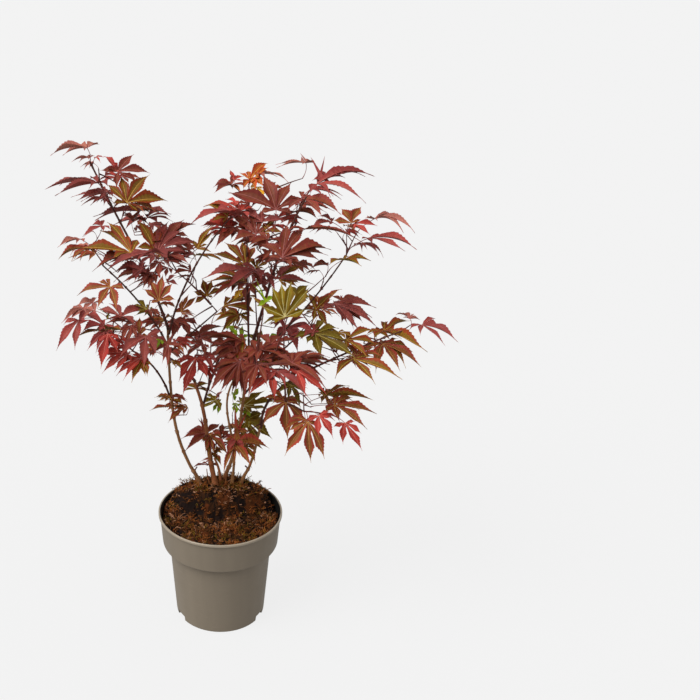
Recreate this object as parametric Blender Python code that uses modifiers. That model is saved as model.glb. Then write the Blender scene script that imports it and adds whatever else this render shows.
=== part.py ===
"""A young Japanese maple in a plastic nursery pot, at its real size.

The origin is the centre of the pot's flat underside, +Z is up, and the plant is seen from the -Y side.
Five stems rise from a mound of potting mix. Each limb is one tapering curve between two named points.
Each mass of foliage is a thin, uneven pad, cut round the limbs that reach into it.
"""
import math
from typing import NamedTuple

import bmesh
import bpy
from mathutils import Vector, noise

# Driving sizes, in metres
POT_HEIGHT = 0.180
RIM_RADIUS = 0.095
BASE_RADIUS = 0.0693
COLLAR_HEIGHT = 0.0532        # the deep band under the rim
STEP_RADIUS = 0.0786          # the wall just under the collar
WALL = 0.0016
FLOOR = 0.0022                # thickness of the pot's underside
NOTCH_WIDTH = 0.022
NOTCH_HEIGHT = 0.009
NOTCH_DEPTH = 0.022           # how far a notch's cutter reaches through the wall
NOTCH_BEARINGS = (-62, 62, 180)   # degrees round from the front
MIX_LEVEL = 0.165             # potting mix at the wall
GROUND = 0.200                # the mound's flat top, where the stems stand
MOUND_CENTRE = Vector((0.0, 0.038))
MOUND_FLAT = Vector((0.050, 0.023))   # half-length and half-width of the flat top
MOUND_SLOPE = 0.85            # how far the sides run out, in flat half-widths
MIX_CLEARANCE = 0.0005        # between the mix and the pot
MIX_RINGS = 9                 # rings of faces on the top of the mix
MIX_ROUGHNESS = 0.0025
GAP = 0.0003                  # between pieces that touch
FLARE_LENGTH = 0.014          # how far the root flare runs up a stem
FLARE = 0.7                   # how much wider a stem is at the ground
UPRIGHT_FOOT = 0.004          # length of the straight start of a stem
TURNED_STEPS = 36
LIMB_STEP = 0.034             # distance between the rings of a limb
TAIL_SHARPNESS = 7            # how narrow the point is that joins a mass to its limb
PAD_STEPS = (11, 6)           # faces round and up a mass
PAD_LOBE = 0.13               # how far the lobes of a mass's outline stand out
PAD_ROUGHNESS = 0.22
PAD_DROOP = 0.35              # how far the edge of a mass hangs, in its half-heights
LOBE_TURN = 2.399             # radians between the lobes of one mass and the next

BARK = (0.115, 0.050, 0.026, 1.0)
POT_GREY = (0.185, 0.160, 0.130, 1.0)
MIX_BROWN = (0.060, 0.024, 0.010, 1.0)
LEAF_COLOURS = {
    "burgundy": (0.130, 0.020, 0.028, 1.0),
    "bronze": (0.160, 0.055, 0.018, 1.0),
    "crimson": (0.330, 0.020, 0.030, 1.0),
    "olive": (0.140, 0.120, 0.020, 1.0),
    "rose": (0.300, 0.060, 0.065, 1.0),
}


class Limb(NamedTuple):
    """A limb from its foot to its tip, bowed by up to half of bow at the middle, with an S of size sway.

    A stem's foot is its place on the mound. A bough's foot lies at a fraction of its parent's length.
    """

    name: str
    girth: tuple            # radius at the foot and at the tip
    tip: tuple
    bow: tuple
    sway: tuple = (0.0, 0.0, 0.0)
    ground: tuple = None
    parent: str = None
    at: float = 0.0


LIMBS = (
    Limb("trunk_left", (0.0034, 0.0022), (-0.075, 0.010, 0.480), (-0.034, 0.000, -0.006),
         (-0.003, 0.003, -0.001), ground=(-0.033, 0.048)),
    Limb("bough_left_top", (0.0022, 0.0012), (-0.180, 0.060, 0.710), (0.008, -0.004, 0.006),
         (0.002, -0.001, 0.001), parent="trunk_left", at=1.0),
    Limb("bough_left_inner", (0.0016, 0.0010), (0.015, -0.010, 0.655), (-0.026, -0.008, 0.010),
         parent="trunk_left", at=0.94),
    Limb("bough_left_long", (0.0015, 0.0010), (-0.155, -0.065, 0.605), (0.016, -0.002, 0.004),
         parent="trunk_left", at=0.90),
    Limb("bough_left_low", (0.0017, 0.0011), (-0.120, -0.045, 0.470), (0.008, 0.018, 0.012),
         parent="trunk_left", at=0.56),
    Limb("bough_middle", (0.0014, 0.0010), (-0.005, 0.060, 0.485), (0.006, -0.006, 0.008),
         parent="trunk_left", at=0.86),
    Limb("trunk_back", (0.0054, 0.0028), (-0.040, 0.090, 0.355), (0.006, -0.004, 0.004),
         (-0.002, 0.000, -0.001), ground=(-0.008, 0.041)),
    Limb("bough_back_left", (0.0028, 0.0015), (-0.085, 0.120, 0.385), (0.004, -0.002, 0.006),
         parent="trunk_back", at=1.0),
    Limb("bough_back", (0.0020, 0.0013), (0.020, 0.150, 0.415), (-0.008, 0.008, -0.002),
         parent="trunk_back", at=0.74),
    Limb("trunk_centre", (0.0036, 0.0024), (0.045, 0.055, 0.425), (0.012, 0.002, -0.002),
         (0.002, 0.000, -0.001), ground=(0.006, 0.054)),
    Limb("bough_centre_top", (0.0024, 0.0012), (0.115, -0.005, 0.680), (-0.012, 0.004, 0.006),
         (0.002, 0.002, 0.000), parent="trunk_centre", at=1.0),
    Limb("bough_top_back", (0.0016, 0.0010), (0.040, 0.125, 0.610), (-0.004, 0.004, -0.002),
         parent="trunk_centre", at=0.95),
    Limb("bough_right_long", (0.0015, 0.0010), (0.175, 0.015, 0.590), (0.012, -0.004, -0.010),
         parent="trunk_centre", at=0.91),
    Limb("bough_back_right", (0.0017, 0.0011), (0.145, 0.130, 0.435), (-0.008, 0.008, 0.006),
         parent="trunk_centre", at=0.66),
    Limb("trunk_front", (0.0027, 0.0016), (0.025, -0.050, 0.440), (-0.016, 0.006, 0.016),
         (0.007, 0.003, -0.003), ground=(0.018, 0.040)),
    Limb("trunk_right", (0.0030, 0.0022), (0.060, 0.010, 0.325), (0.012, 0.010, 0.000),
         (0.001, 0.000, 0.000), ground=(0.032, 0.045)),
    Limb("bough_right_middle", (0.0021, 0.0010), (0.255, -0.020, 0.490), (-0.058, -0.054, 0.058),
         (-0.010, 0.006, -0.003), parent="trunk_right", at=1.0),
    Limb("bough_right_low", (0.0016, 0.0011), (0.115, -0.090, 0.400), (-0.012, 0.008, 0.050),
         parent="trunk_right", at=0.82),
)


class Mass(NamedTuple):
    """A pad of foliage: its middle, its half-sizes across, through and up, and its colour."""

    name: str
    middle: tuple
    half: tuple
    colour: str


MASSES = (
    Mass("foliage_left_tip", (-0.200, 0.060, 0.730), (0.038, 0.026, 0.013), "rose"),
    Mass("foliage_left_crown_front", (-0.195, 0.010, 0.684), (0.042, 0.028, 0.015), "burgundy"),
    Mass("foliage_left_crown", (-0.130, 0.055, 0.680), (0.036, 0.034, 0.026), "burgundy"),
    Mass("foliage_left_shoulder", (-0.110, 0.110, 0.620), (0.048, 0.032, 0.012), "burgundy"),
    Mass("foliage_left_hand", (-0.170, -0.025, 0.628), (0.046, 0.036, 0.017), "bronze"),
    Mass("foliage_left_heart", (-0.080, 0.050, 0.600), (0.045, 0.038, 0.024), "burgundy"),
    Mass("foliage_left_breast", (-0.112, -0.055, 0.570), (0.033, 0.030, 0.020), "crimson"),
    Mass("foliage_left_front", (-0.156, -0.110, 0.585), (0.040, 0.034, 0.011), "bronze"),
    Mass("foliage_left_sleeve", (-0.168, -0.060, 0.520), (0.048, 0.040, 0.024), "rose"),
    Mass("foliage_left_low", (-0.130, -0.085, 0.474), (0.040, 0.036, 0.024), "crimson"),
    Mass("foliage_left_low_back", (-0.110, 0.140, 0.390), (0.036, 0.034, 0.021), "burgundy"),
    Mass("foliage_middle_twig", (-0.040, 0.085, 0.470), (0.030, 0.028, 0.026), "bronze"),
    Mass("foliage_band_left", (-0.025, -0.005, 0.440), (0.040, 0.036, 0.026), "burgundy"),
    Mass("foliage_band_right", (0.040, -0.065, 0.462), (0.036, 0.034, 0.020), "burgundy"),
    Mass("foliage_band_front", (0.105, -0.125, 0.465), (0.044, 0.036, 0.018), "crimson"),
    Mass("foliage_crown_back", (0.040, 0.155, 0.652), (0.050, 0.038, 0.020), "olive"),
    Mass("foliage_crown_left", (0.012, 0.012, 0.662), (0.038, 0.034, 0.026), "burgundy"),
    Mass("foliage_crown_right", (0.098, 0.030, 0.655), (0.042, 0.034, 0.026), "burgundy"),
    Mass("foliage_crown_olive", (-0.030, 0.130, 0.580), (0.040, 0.034, 0.020), "olive"),
    Mass("foliage_crown_fan", (0.100, -0.055, 0.622), (0.043, 0.038, 0.026), "burgundy"),
    Mass("foliage_crown_heart", (0.030, 0.040, 0.545), (0.060, 0.040, 0.020), "burgundy"),
    Mass("foliage_lime", (0.090, -0.095, 0.560), (0.038, 0.034, 0.018), "olive"),
    Mass("foliage_crown_under", (0.030, 0.175, 0.435), (0.038, 0.036, 0.021), "bronze"),
    Mass("foliage_right_top", (0.176, 0.060, 0.682), (0.044, 0.032, 0.020), "burgundy"),
    Mass("foliage_right_arm", (0.172, 0.000, 0.628), (0.040, 0.032, 0.015), "burgundy"),
    Mass("foliage_right_hand", (0.235, 0.045, 0.605), (0.034, 0.032, 0.018), "rose"),
    Mass("foliage_right_olive", (0.168, -0.092, 0.620), (0.034, 0.026, 0.010), "olive"),
    Mass("foliage_right_back", (0.190, 0.150, 0.445), (0.050, 0.036, 0.022), "burgundy"),
    Mass("foliage_right_middle", (0.150, 0.030, 0.455), (0.044, 0.036, 0.018), "olive"),
    Mass("foliage_right_wide", (0.216, -0.050, 0.470), (0.052, 0.036, 0.022), "bronze"),
    Mass("foliage_far_right", (0.288, 0.005, 0.478), (0.040, 0.032, 0.018), "bronze"),
    Mass("foliage_right_low", (0.186, -0.045, 0.388), (0.042, 0.036, 0.024), "bronze"),
    Mass("foliage_hanging", (0.120, -0.135, 0.385), (0.038, 0.034, 0.034), "bronze"),
    Mass("foliage_low_bronze", (0.085, -0.055, 0.358), (0.031, 0.030, 0.022), "bronze"),
    Mass("foliage_low_centre", (0.055, 0.075, 0.312), (0.034, 0.032, 0.030), "olive"),
    Mass("foliage_low_back", (-0.020, 0.160, 0.295), (0.040, 0.034, 0.020), "olive"),
    Mass("foliage_left_ankle", (-0.075, -0.002, 0.360), (0.028, 0.026, 0.014), "bronze"),
    Mass("foliage_whorl", (-0.022, 0.072, 0.272), (0.036, 0.032, 0.015), "burgundy"),
    Mass("foliage_whorl_right", (0.045, 0.000, 0.285), (0.032, 0.030, 0.020), "bronze"),
)


def clear_scene():
    for obj in list(bpy.data.objects):
        bpy.data.objects.remove(obj, do_unlink=True)


def new_collection(name):
    collection = bpy.data.collections.new(name)
    bpy.context.scene.collection.children.link(collection)
    return collection


def finish_material(name, colour, roughness):
    """A Principled material, made once for each name."""
    material = bpy.data.materials.get(name)
    if material is None:
        material = bpy.data.materials.new(name)
        material.use_nodes = True
        shader = material.node_tree.nodes["Principled BSDF"]
        shader.inputs["Base Color"].default_value = colour
        shader.inputs["Roughness"].default_value = roughness
        shader.inputs["Metallic"].default_value = 0.0
        material.diffuse_color = colour
    return material


def add_object(name, mesh, collection, material=None):
    obj = bpy.data.objects.new(name, mesh)
    collection.objects.link(obj)
    if material is not None:
        mesh.materials.append(material)
    return obj


def frozen_mesh(obj, name):
    """A plain mesh of the object as it is evaluated, with loose caps welded. The object is removed."""
    graph = bpy.context.evaluated_depsgraph_get()
    mesh = bpy.data.meshes.new_from_object(obj.evaluated_get(graph))
    mesh.name = name
    mesh.materials.clear()
    bpy.data.objects.remove(obj, do_unlink=True)
    shell = bmesh.new()
    shell.from_mesh(mesh)
    bmesh.ops.remove_doubles(shell, verts=shell.verts, dist=0.00002)
    bmesh.ops.recalc_face_normals(shell, faces=shell.faces)
    shell.to_mesh(mesh)
    shell.free()
    return mesh


def turned_mesh(name, profile, collection):
    """Turns a profile of (radius, height) points round the Z axis."""
    mesh = bpy.data.meshes.new(name + "_profile")
    points = [(radius, 0.0, height) for radius, height in profile]
    edges = [(index, index + 1) for index in range(len(points) - 1)]
    mesh.from_pydata(points, edges, [])
    obj = add_object(name + "_profile", mesh, collection)
    screw = obj.modifiers.new("turn", "SCREW")
    screw.steps = TURNED_STEPS
    screw.render_steps = TURNED_STEPS
    screw.use_merge_vertices = True
    screw.merge_threshold = 0.0001
    bpy.context.view_layer.update()
    return frozen_mesh(obj, name)


def round_off(obj, angle=40):
    obj.data.shade_smooth()
    obj.data.set_sharp_from_angle(angle=math.radians(angle))


def cut(obj, cutter):
    modifier = obj.modifiers.new("cut_" + cutter.name, "BOOLEAN")
    modifier.operation = "DIFFERENCE"
    modifier.solver = "EXACT"
    modifier.object = cutter


def hide_cutter(obj):
    obj.hide_render = True
    obj.display_type = "WIRE"
    return obj


def collar_radius(height):
    """The collar's outer radius, which narrows a little towards its lower edge."""
    lower_edge = RIM_RADIUS - 0.0060
    share = (height - POT_HEIGHT + COLLAR_HEIGHT) / COLLAR_HEIGHT
    return lower_edge + (RIM_RADIUS - 0.0008 - lower_edge) * share


def wall_radius(height):
    """The outer radius of the wall between the underside and the collar."""
    share = height / (POT_HEIGHT - COLLAR_HEIGHT)
    return BASE_RADIUS + (STEP_RADIUS - BASE_RADIUS) * share


def build_pot(parts, cutters):
    """The pot: a thin shell with a lipped rim, a deep collar and three drain notches at its foot."""
    step = POT_HEIGHT - COLLAR_HEIGHT
    inner = [
        (0.0, FLOOR),
        (wall_radius(FLOOR) - WALL - 0.0008, FLOOR),
        (wall_radius(step) - WALL, step + 0.0006),
        (collar_radius(step) - WALL - 0.0016, step + 0.0018),
        (collar_radius(step + 0.004) - WALL, step + 0.0042),
        (collar_radius(POT_HEIGHT) - WALL, POT_HEIGHT - 0.0012),
    ]
    rim = [
        (RIM_RADIUS - 0.0016, POT_HEIGHT),
        (RIM_RADIUS - 0.0004, POT_HEIGHT - 0.0004),
        (RIM_RADIUS, POT_HEIGHT - 0.0014),
        (RIM_RADIUS, POT_HEIGHT - 0.0032),
        (collar_radius(POT_HEIGHT - 0.004), POT_HEIGHT - 0.0044),
    ]
    outer = [
        (collar_radius(step + 0.004), step + 0.0040),
        (collar_radius(step) - 0.0010, step + 0.0010),
        (collar_radius(step) - 0.0030, step),
        (STEP_RADIUS, step - 0.0006),
        (wall_radius(0.0), 0.0012),
        (wall_radius(0.0) - 0.0012, 0.0),
        (0.0, 0.0),
    ]
    mesh = turned_mesh("pot", inner + rim + outer, cutters)
    pot = add_object("pot", mesh, parts, finish_material("pot_plastic", POT_GREY, 0.5))
    for index, bearing in enumerate(NOTCH_BEARINGS):
        shape = bmesh.new()
        bmesh.ops.create_cube(shape, size=1.0)
        mesh = bpy.data.meshes.new(f"notch_{index}")
        shape.to_mesh(mesh)
        shape.free()
        cutter = hide_cutter(add_object(mesh.name, mesh, cutters))
        turn = math.radians(bearing)
        cutter.scale = (NOTCH_WIDTH, NOTCH_DEPTH, 2 * NOTCH_HEIGHT)
        cutter.location = (BASE_RADIUS * math.sin(turn), -BASE_RADIUS * math.cos(turn), 0.0)
        cutter.rotation_euler = (0.0, 0.0, turn)
        cut(pot, cutter)
    round_off(pot)
    return pot


def mound_height(x, y):
    """How far the mix stands above its level at the wall: a flat top that falls off in a soft slope."""
    reach = math.hypot((x - MOUND_CENTRE.x) / MOUND_FLAT.x, (y - MOUND_CENTRE.y) / MOUND_FLAT.y)
    share = min(max((1 + MOUND_SLOPE - reach) / MOUND_SLOPE, 0.0), 1.0)
    return (GROUND - MIX_LEVEL) * share * share * (3 - 2 * share)


def build_mix(parts, cutters):
    """The potting mix: it fills the pot, and its top rises to the mound that the stems stand on."""
    step = POT_HEIGHT - COLLAR_HEIGHT
    shy = MIX_CLEARANCE
    floor = FLOOR + shy
    foot = BASE_RADIUS - 0.0125   # clear of the drain notches
    edge = collar_radius(MIX_LEVEL) - WALL - shy
    top = [(edge * ring / MIX_RINGS, MIX_LEVEL) for ring in range(MIX_RINGS + 1)]
    side = [
        (collar_radius(step + 0.004) - WALL - shy, step + 0.0045),
        (collar_radius(step) - WALL - 0.0016 - shy, step + 0.0024),
        (wall_radius(step) - WALL - shy, step + 0.0010),
        (wall_radius(NOTCH_HEIGHT) - WALL - shy, NOTCH_HEIGHT + 0.004),
        (foot, NOTCH_HEIGHT + 0.001),
        (foot, floor),
        (0.0, floor),
    ]
    mesh = turned_mesh("potting_mix", top + side, cutters)
    for vertex in mesh.vertices:
        if vertex.co.z > MIX_LEVEL - 0.0001:
            rise = mound_height(vertex.co.x, vertex.co.y)
            dip = min(MIX_ROUGHNESS * noise.noise(vertex.co * 60), 0.0)
            flat = rise >= GROUND - MIX_LEVEL
            vertex.co.z = GROUND if flat else MIX_LEVEL + rise + dip
    mix = add_object("potting_mix", mesh, parts, finish_material("potting_mix", MIX_BROWN, 0.9))
    round_off(mix, 60)
    return mix


def limb_point(limb, foot, share):
    """The point at a share of the way from the limb's foot to its tip."""
    tip, bow, sway = Vector(limb.tip), Vector(limb.bow), Vector(limb.sway)
    knee = (foot + tip) / 2 + bow
    curve = foot * (1 - share) ** 2 + knee * 2 * share * (1 - share) + tip * share ** 2
    return curve + sway * math.sin(2 * math.pi * share)


def limb_route(limb, routes):
    """The points along a limb's middle, with the radius at each."""
    if limb.parent is None:
        foot = Vector((limb.ground[0], limb.ground[1], GROUND + GAP))
    else:
        parent = routes[limb.parent]
        foot = parent["at"](limb.at)
        if limb.at == 1.0:
            foot = foot + parent["end_direction"] * GAP
    length = (Vector(limb.tip) - foot).length
    count = max(3, round(length / LIMB_STEP) + 1)
    shares = [index / (count - 1) for index in range(count)]
    points = [limb_point(limb, foot, share) for share in shares]
    thick, thin = limb.girth
    radii = [thick + (thin - thick) * share for share in shares]
    if limb.parent is None:
        # A short upright foot keeps the cut level with the ground, and the flare runs out above it.
        upright = foot + Vector((0.0, 0.0, UPRIGHT_FOOT))
        above = limb_point(limb, foot, FLARE_LENGTH / length) + Vector((0.0, 0.0, UPRIGHT_FOOT / 2))
        points[1:1] = [upright, above]
        radii[1:1] = [thick * (1 + FLARE * 0.55), thick * (1 + FLARE * 0.1)]
        radii[0] = thick * (1 + FLARE)
    elif limb.at == 1.0:
        points.insert(1, foot + parent["end_direction"] * UPRIGHT_FOOT)
        radii.insert(1, thick)
    return {
        "points": points,
        "radii": radii,
        "at": lambda share: limb_point(limb, foot, share),
        "end_direction": (points[-1] - points[-2]).normalized(),
    }


def tube_mesh(name, points, radii, collection):
    """A round tapering rod through the points, as a closed mesh."""
    curve = bpy.data.curves.new(name, "CURVE")
    curve.dimensions = "3D"
    curve.bevel_depth = 1.0
    curve.bevel_resolution = 1
    curve.use_fill_caps = True
    spline = curve.splines.new("POLY")
    spline.points.add(len(points) - 1)
    for slot, point, radius in zip(spline.points, points, radii):
        slot.co = (*point, 1.0)
        slot.radius = radius
    obj = bpy.data.objects.new(name + "_route", curve)
    collection.objects.link(obj)
    bpy.context.view_layer.update()
    return frozen_mesh(obj, name)


def build_limbs(parts, cutters):
    """Stems and boughs, with a slightly thicker copy of each to cut what it passes through."""
    routes, sleeves = {}, {}
    bark = finish_material("bark", BARK, 0.7)
    for limb in LIMBS:
        route = limb_route(limb, routes)
        routes[limb.name] = route
        mesh = tube_mesh(limb.name, route["points"], route["radii"], cutters)
        obj = add_object(limb.name, mesh, parts, bark)
        if limb.parent is not None and limb.at < 1.0:
            cut(obj, sleeves[limb.parent])
        round_off(obj, 50)
        ahead = route["end_direction"] * (GAP * 1.5)
        points = route["points"][:-1] + [route["points"][-1] + ahead]
        radii = [radius + GAP * 1.5 for radius in route["radii"]]
        mesh = tube_mesh("sleeve_" + limb.name, points, radii, cutters)
        sleeves[limb.name] = hide_cutter(add_object(mesh.name, mesh, cutters))
    return routes, sleeves


def nearest_limb_point(place, routes):
    """The point nearest to a place on the middle line of any limb."""
    shares = [step / 24 for step in range(25)]
    points = [route["at"](share) for route in routes.values() for share in shares]
    return min(points, key=lambda point: (point - place).length)


def mass_mesh(mass, seed, root):
    """A closed pad whose outline has a few lobes of its own, thinner and lower towards its edge.

    One side is drawn out in a point to root, where the spray grows from its limb.
    """
    shape = bmesh.new()
    around, upward = PAD_STEPS
    bmesh.ops.create_uvsphere(shape, u_segments=around, v_segments=upward, radius=1.0)
    lobes = 3 + seed % 3
    lean = seed * LOBE_TURN
    towards = root.normalized()
    closest = max(vertex.co.normalized().dot(towards) for vertex in shape.verts)
    for vertex in shape.verts:
        direction = vertex.co.copy()
        bearing = math.atan2(direction.y, direction.x)
        across = math.hypot(direction.x, direction.y)
        lobe = 1.0 + PAD_LOBE * across * math.cos(lobes * bearing + lean)
        own_place = Vector((seed * 3.1, 7.0, 0.0))
        rough = 1.0 + PAD_ROUGHNESS * noise.noise(direction * 1.3 + own_place)
        droop = PAD_DROOP * across * across
        vertex.co = Vector((
            direction.x * lobe * rough * mass.half[0],
            direction.y * lobe * rough * mass.half[1],
            (direction.z * rough - droop + 0.15) * mass.half[2],
        ))
        pull = max(direction.dot(towards) / closest, 0.0) ** TAIL_SHARPNESS
        vertex.co = vertex.co.lerp(root, pull)
    mesh = bpy.data.meshes.new(mass.name)
    shape.to_mesh(mesh)
    shape.free()
    return mesh


def comes_near(obj, points):
    """Whether a limb through these points comes into the space that the object's mesh fills."""
    corners = [obj.location + Vector(corner) for corner in obj.bound_box]
    low = [min(corner[axis] for corner in corners) - 0.004 for axis in range(3)]
    high = [max(corner[axis] for corner in corners) + 0.004 for axis in range(3)]
    for start, end in zip(points, points[1:]):
        for step in range(6):
            point = start.lerp(end, step / 5)
            if all(low[axis] < point[axis] < high[axis] for axis in range(3)):
                return True
    return False


def build_masses(parts, routes, sleeves):
    for seed, mass in enumerate(MASSES, start=1):
        colour = finish_material("leaves_" + mass.colour, LEAF_COLOURS[mass.colour], 0.6)
        middle = Vector(mass.middle)
        root = nearest_limb_point(middle, routes) - middle
        obj = add_object(mass.name, mass_mesh(mass, seed, root), parts, colour)
        obj.location = mass.middle
        for name, route in routes.items():
            if comes_near(obj, route["points"]):
                cut(obj, sleeves[name])
        round_off(obj, 60)


def main():
    clear_scene()
    parts = new_collection("Potted Japanese maple")
    cutters = new_collection("Cutters")
    build_pot(parts, cutters)
    build_mix(parts, cutters)
    routes, sleeves = build_limbs(parts, cutters)
    build_masses(parts, routes, sleeves)


main()
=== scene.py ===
"""The finish of a young Japanese maple in its nursery pot: leaves, twigs, bark, potting mix and pot.

Laid out as an add-on and run as a script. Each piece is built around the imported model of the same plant.
Lengths are in metres, except where a comment says otherwise. LEADS places its leaves by where they show
in the front view.
"""

import math
import random
from functools import cache
from typing import NamedTuple

import bmesh
import bpy
import numpy as np
from bpy.props import FloatProperty, FloatVectorProperty, IntProperty, PointerProperty
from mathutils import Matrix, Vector, noise
from mathutils.bvhtree import BVHTree


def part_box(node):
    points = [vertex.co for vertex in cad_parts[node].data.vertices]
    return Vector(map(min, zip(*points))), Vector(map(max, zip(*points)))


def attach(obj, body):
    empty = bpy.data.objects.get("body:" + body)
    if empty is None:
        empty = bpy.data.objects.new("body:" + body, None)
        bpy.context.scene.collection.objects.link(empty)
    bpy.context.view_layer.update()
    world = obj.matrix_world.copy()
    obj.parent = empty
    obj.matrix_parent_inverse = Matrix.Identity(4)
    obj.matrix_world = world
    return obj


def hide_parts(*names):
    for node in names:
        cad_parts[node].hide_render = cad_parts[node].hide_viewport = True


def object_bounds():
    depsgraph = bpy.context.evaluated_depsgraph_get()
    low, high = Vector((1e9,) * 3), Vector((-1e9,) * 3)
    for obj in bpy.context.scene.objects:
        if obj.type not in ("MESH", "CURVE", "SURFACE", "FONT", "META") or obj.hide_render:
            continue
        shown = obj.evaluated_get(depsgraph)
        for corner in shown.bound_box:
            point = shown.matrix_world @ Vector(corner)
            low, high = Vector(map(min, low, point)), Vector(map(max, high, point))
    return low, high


bl_info = {
    "name": "Potted Japanese Maple",
    "version": (1, 0, 0),
    "blender": (4, 5, 0),
    "location": "3D View > Sidebar > Maple",
    "description": "Builds the leaves, twigs, bark, potting mix and pot of a young potted maple",
    "category": "Object",
}

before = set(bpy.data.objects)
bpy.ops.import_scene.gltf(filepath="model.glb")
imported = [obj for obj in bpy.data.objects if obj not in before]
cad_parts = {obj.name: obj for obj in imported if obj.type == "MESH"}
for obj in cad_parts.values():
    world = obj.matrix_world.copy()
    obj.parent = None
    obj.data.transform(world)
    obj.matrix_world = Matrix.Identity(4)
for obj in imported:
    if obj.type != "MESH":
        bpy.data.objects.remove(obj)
CAD_BOX = [list(corner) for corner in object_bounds()]

MM = 0.001
UP = np.array((0.0, 0.0, 1.0))
VIEW_PITCH = math.radians(25.28)  # how far the camera looks down
ACROSS = np.array((1.0, 0.0, 0.0))
VIEW_UP = np.array((0.0, math.sin(VIEW_PITCH), math.cos(VIEW_PITCH)))
NEARER = np.array((0.0, -math.cos(VIEW_PITCH), math.sin(VIEW_PITCH)))

VIEW_SIZE = 700  # side of the front view in pixels
SENSOR = 36.0  # width of the camera's sensor in millimetres

STEMS = ("trunk_left", "trunk_back", "trunk_centre", "trunk_front", "trunk_right")
BOUGHS = tuple(name for name in sorted(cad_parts) if name.startswith("bough_"))
MASSES = tuple(name for name in sorted(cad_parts) if name.startswith("foliage_"))


class Lead(NamedTuple):
    """A leading leaf, as it is seen from the camera. Places are (x, y) in pixels of the view."""

    kind: str
    hub: tuple                    # where the stalk meets the blade
    facing: float                 # from 0 for a blade that leans away to 1 for one that faces the camera
    breadth: float                # half the width of a lobe against its length
    nearer: float                 # millimetres nearer to the camera than the middle of its mass
    tips: tuple                   # the tip of each lobe, with the middle lobe first


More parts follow.
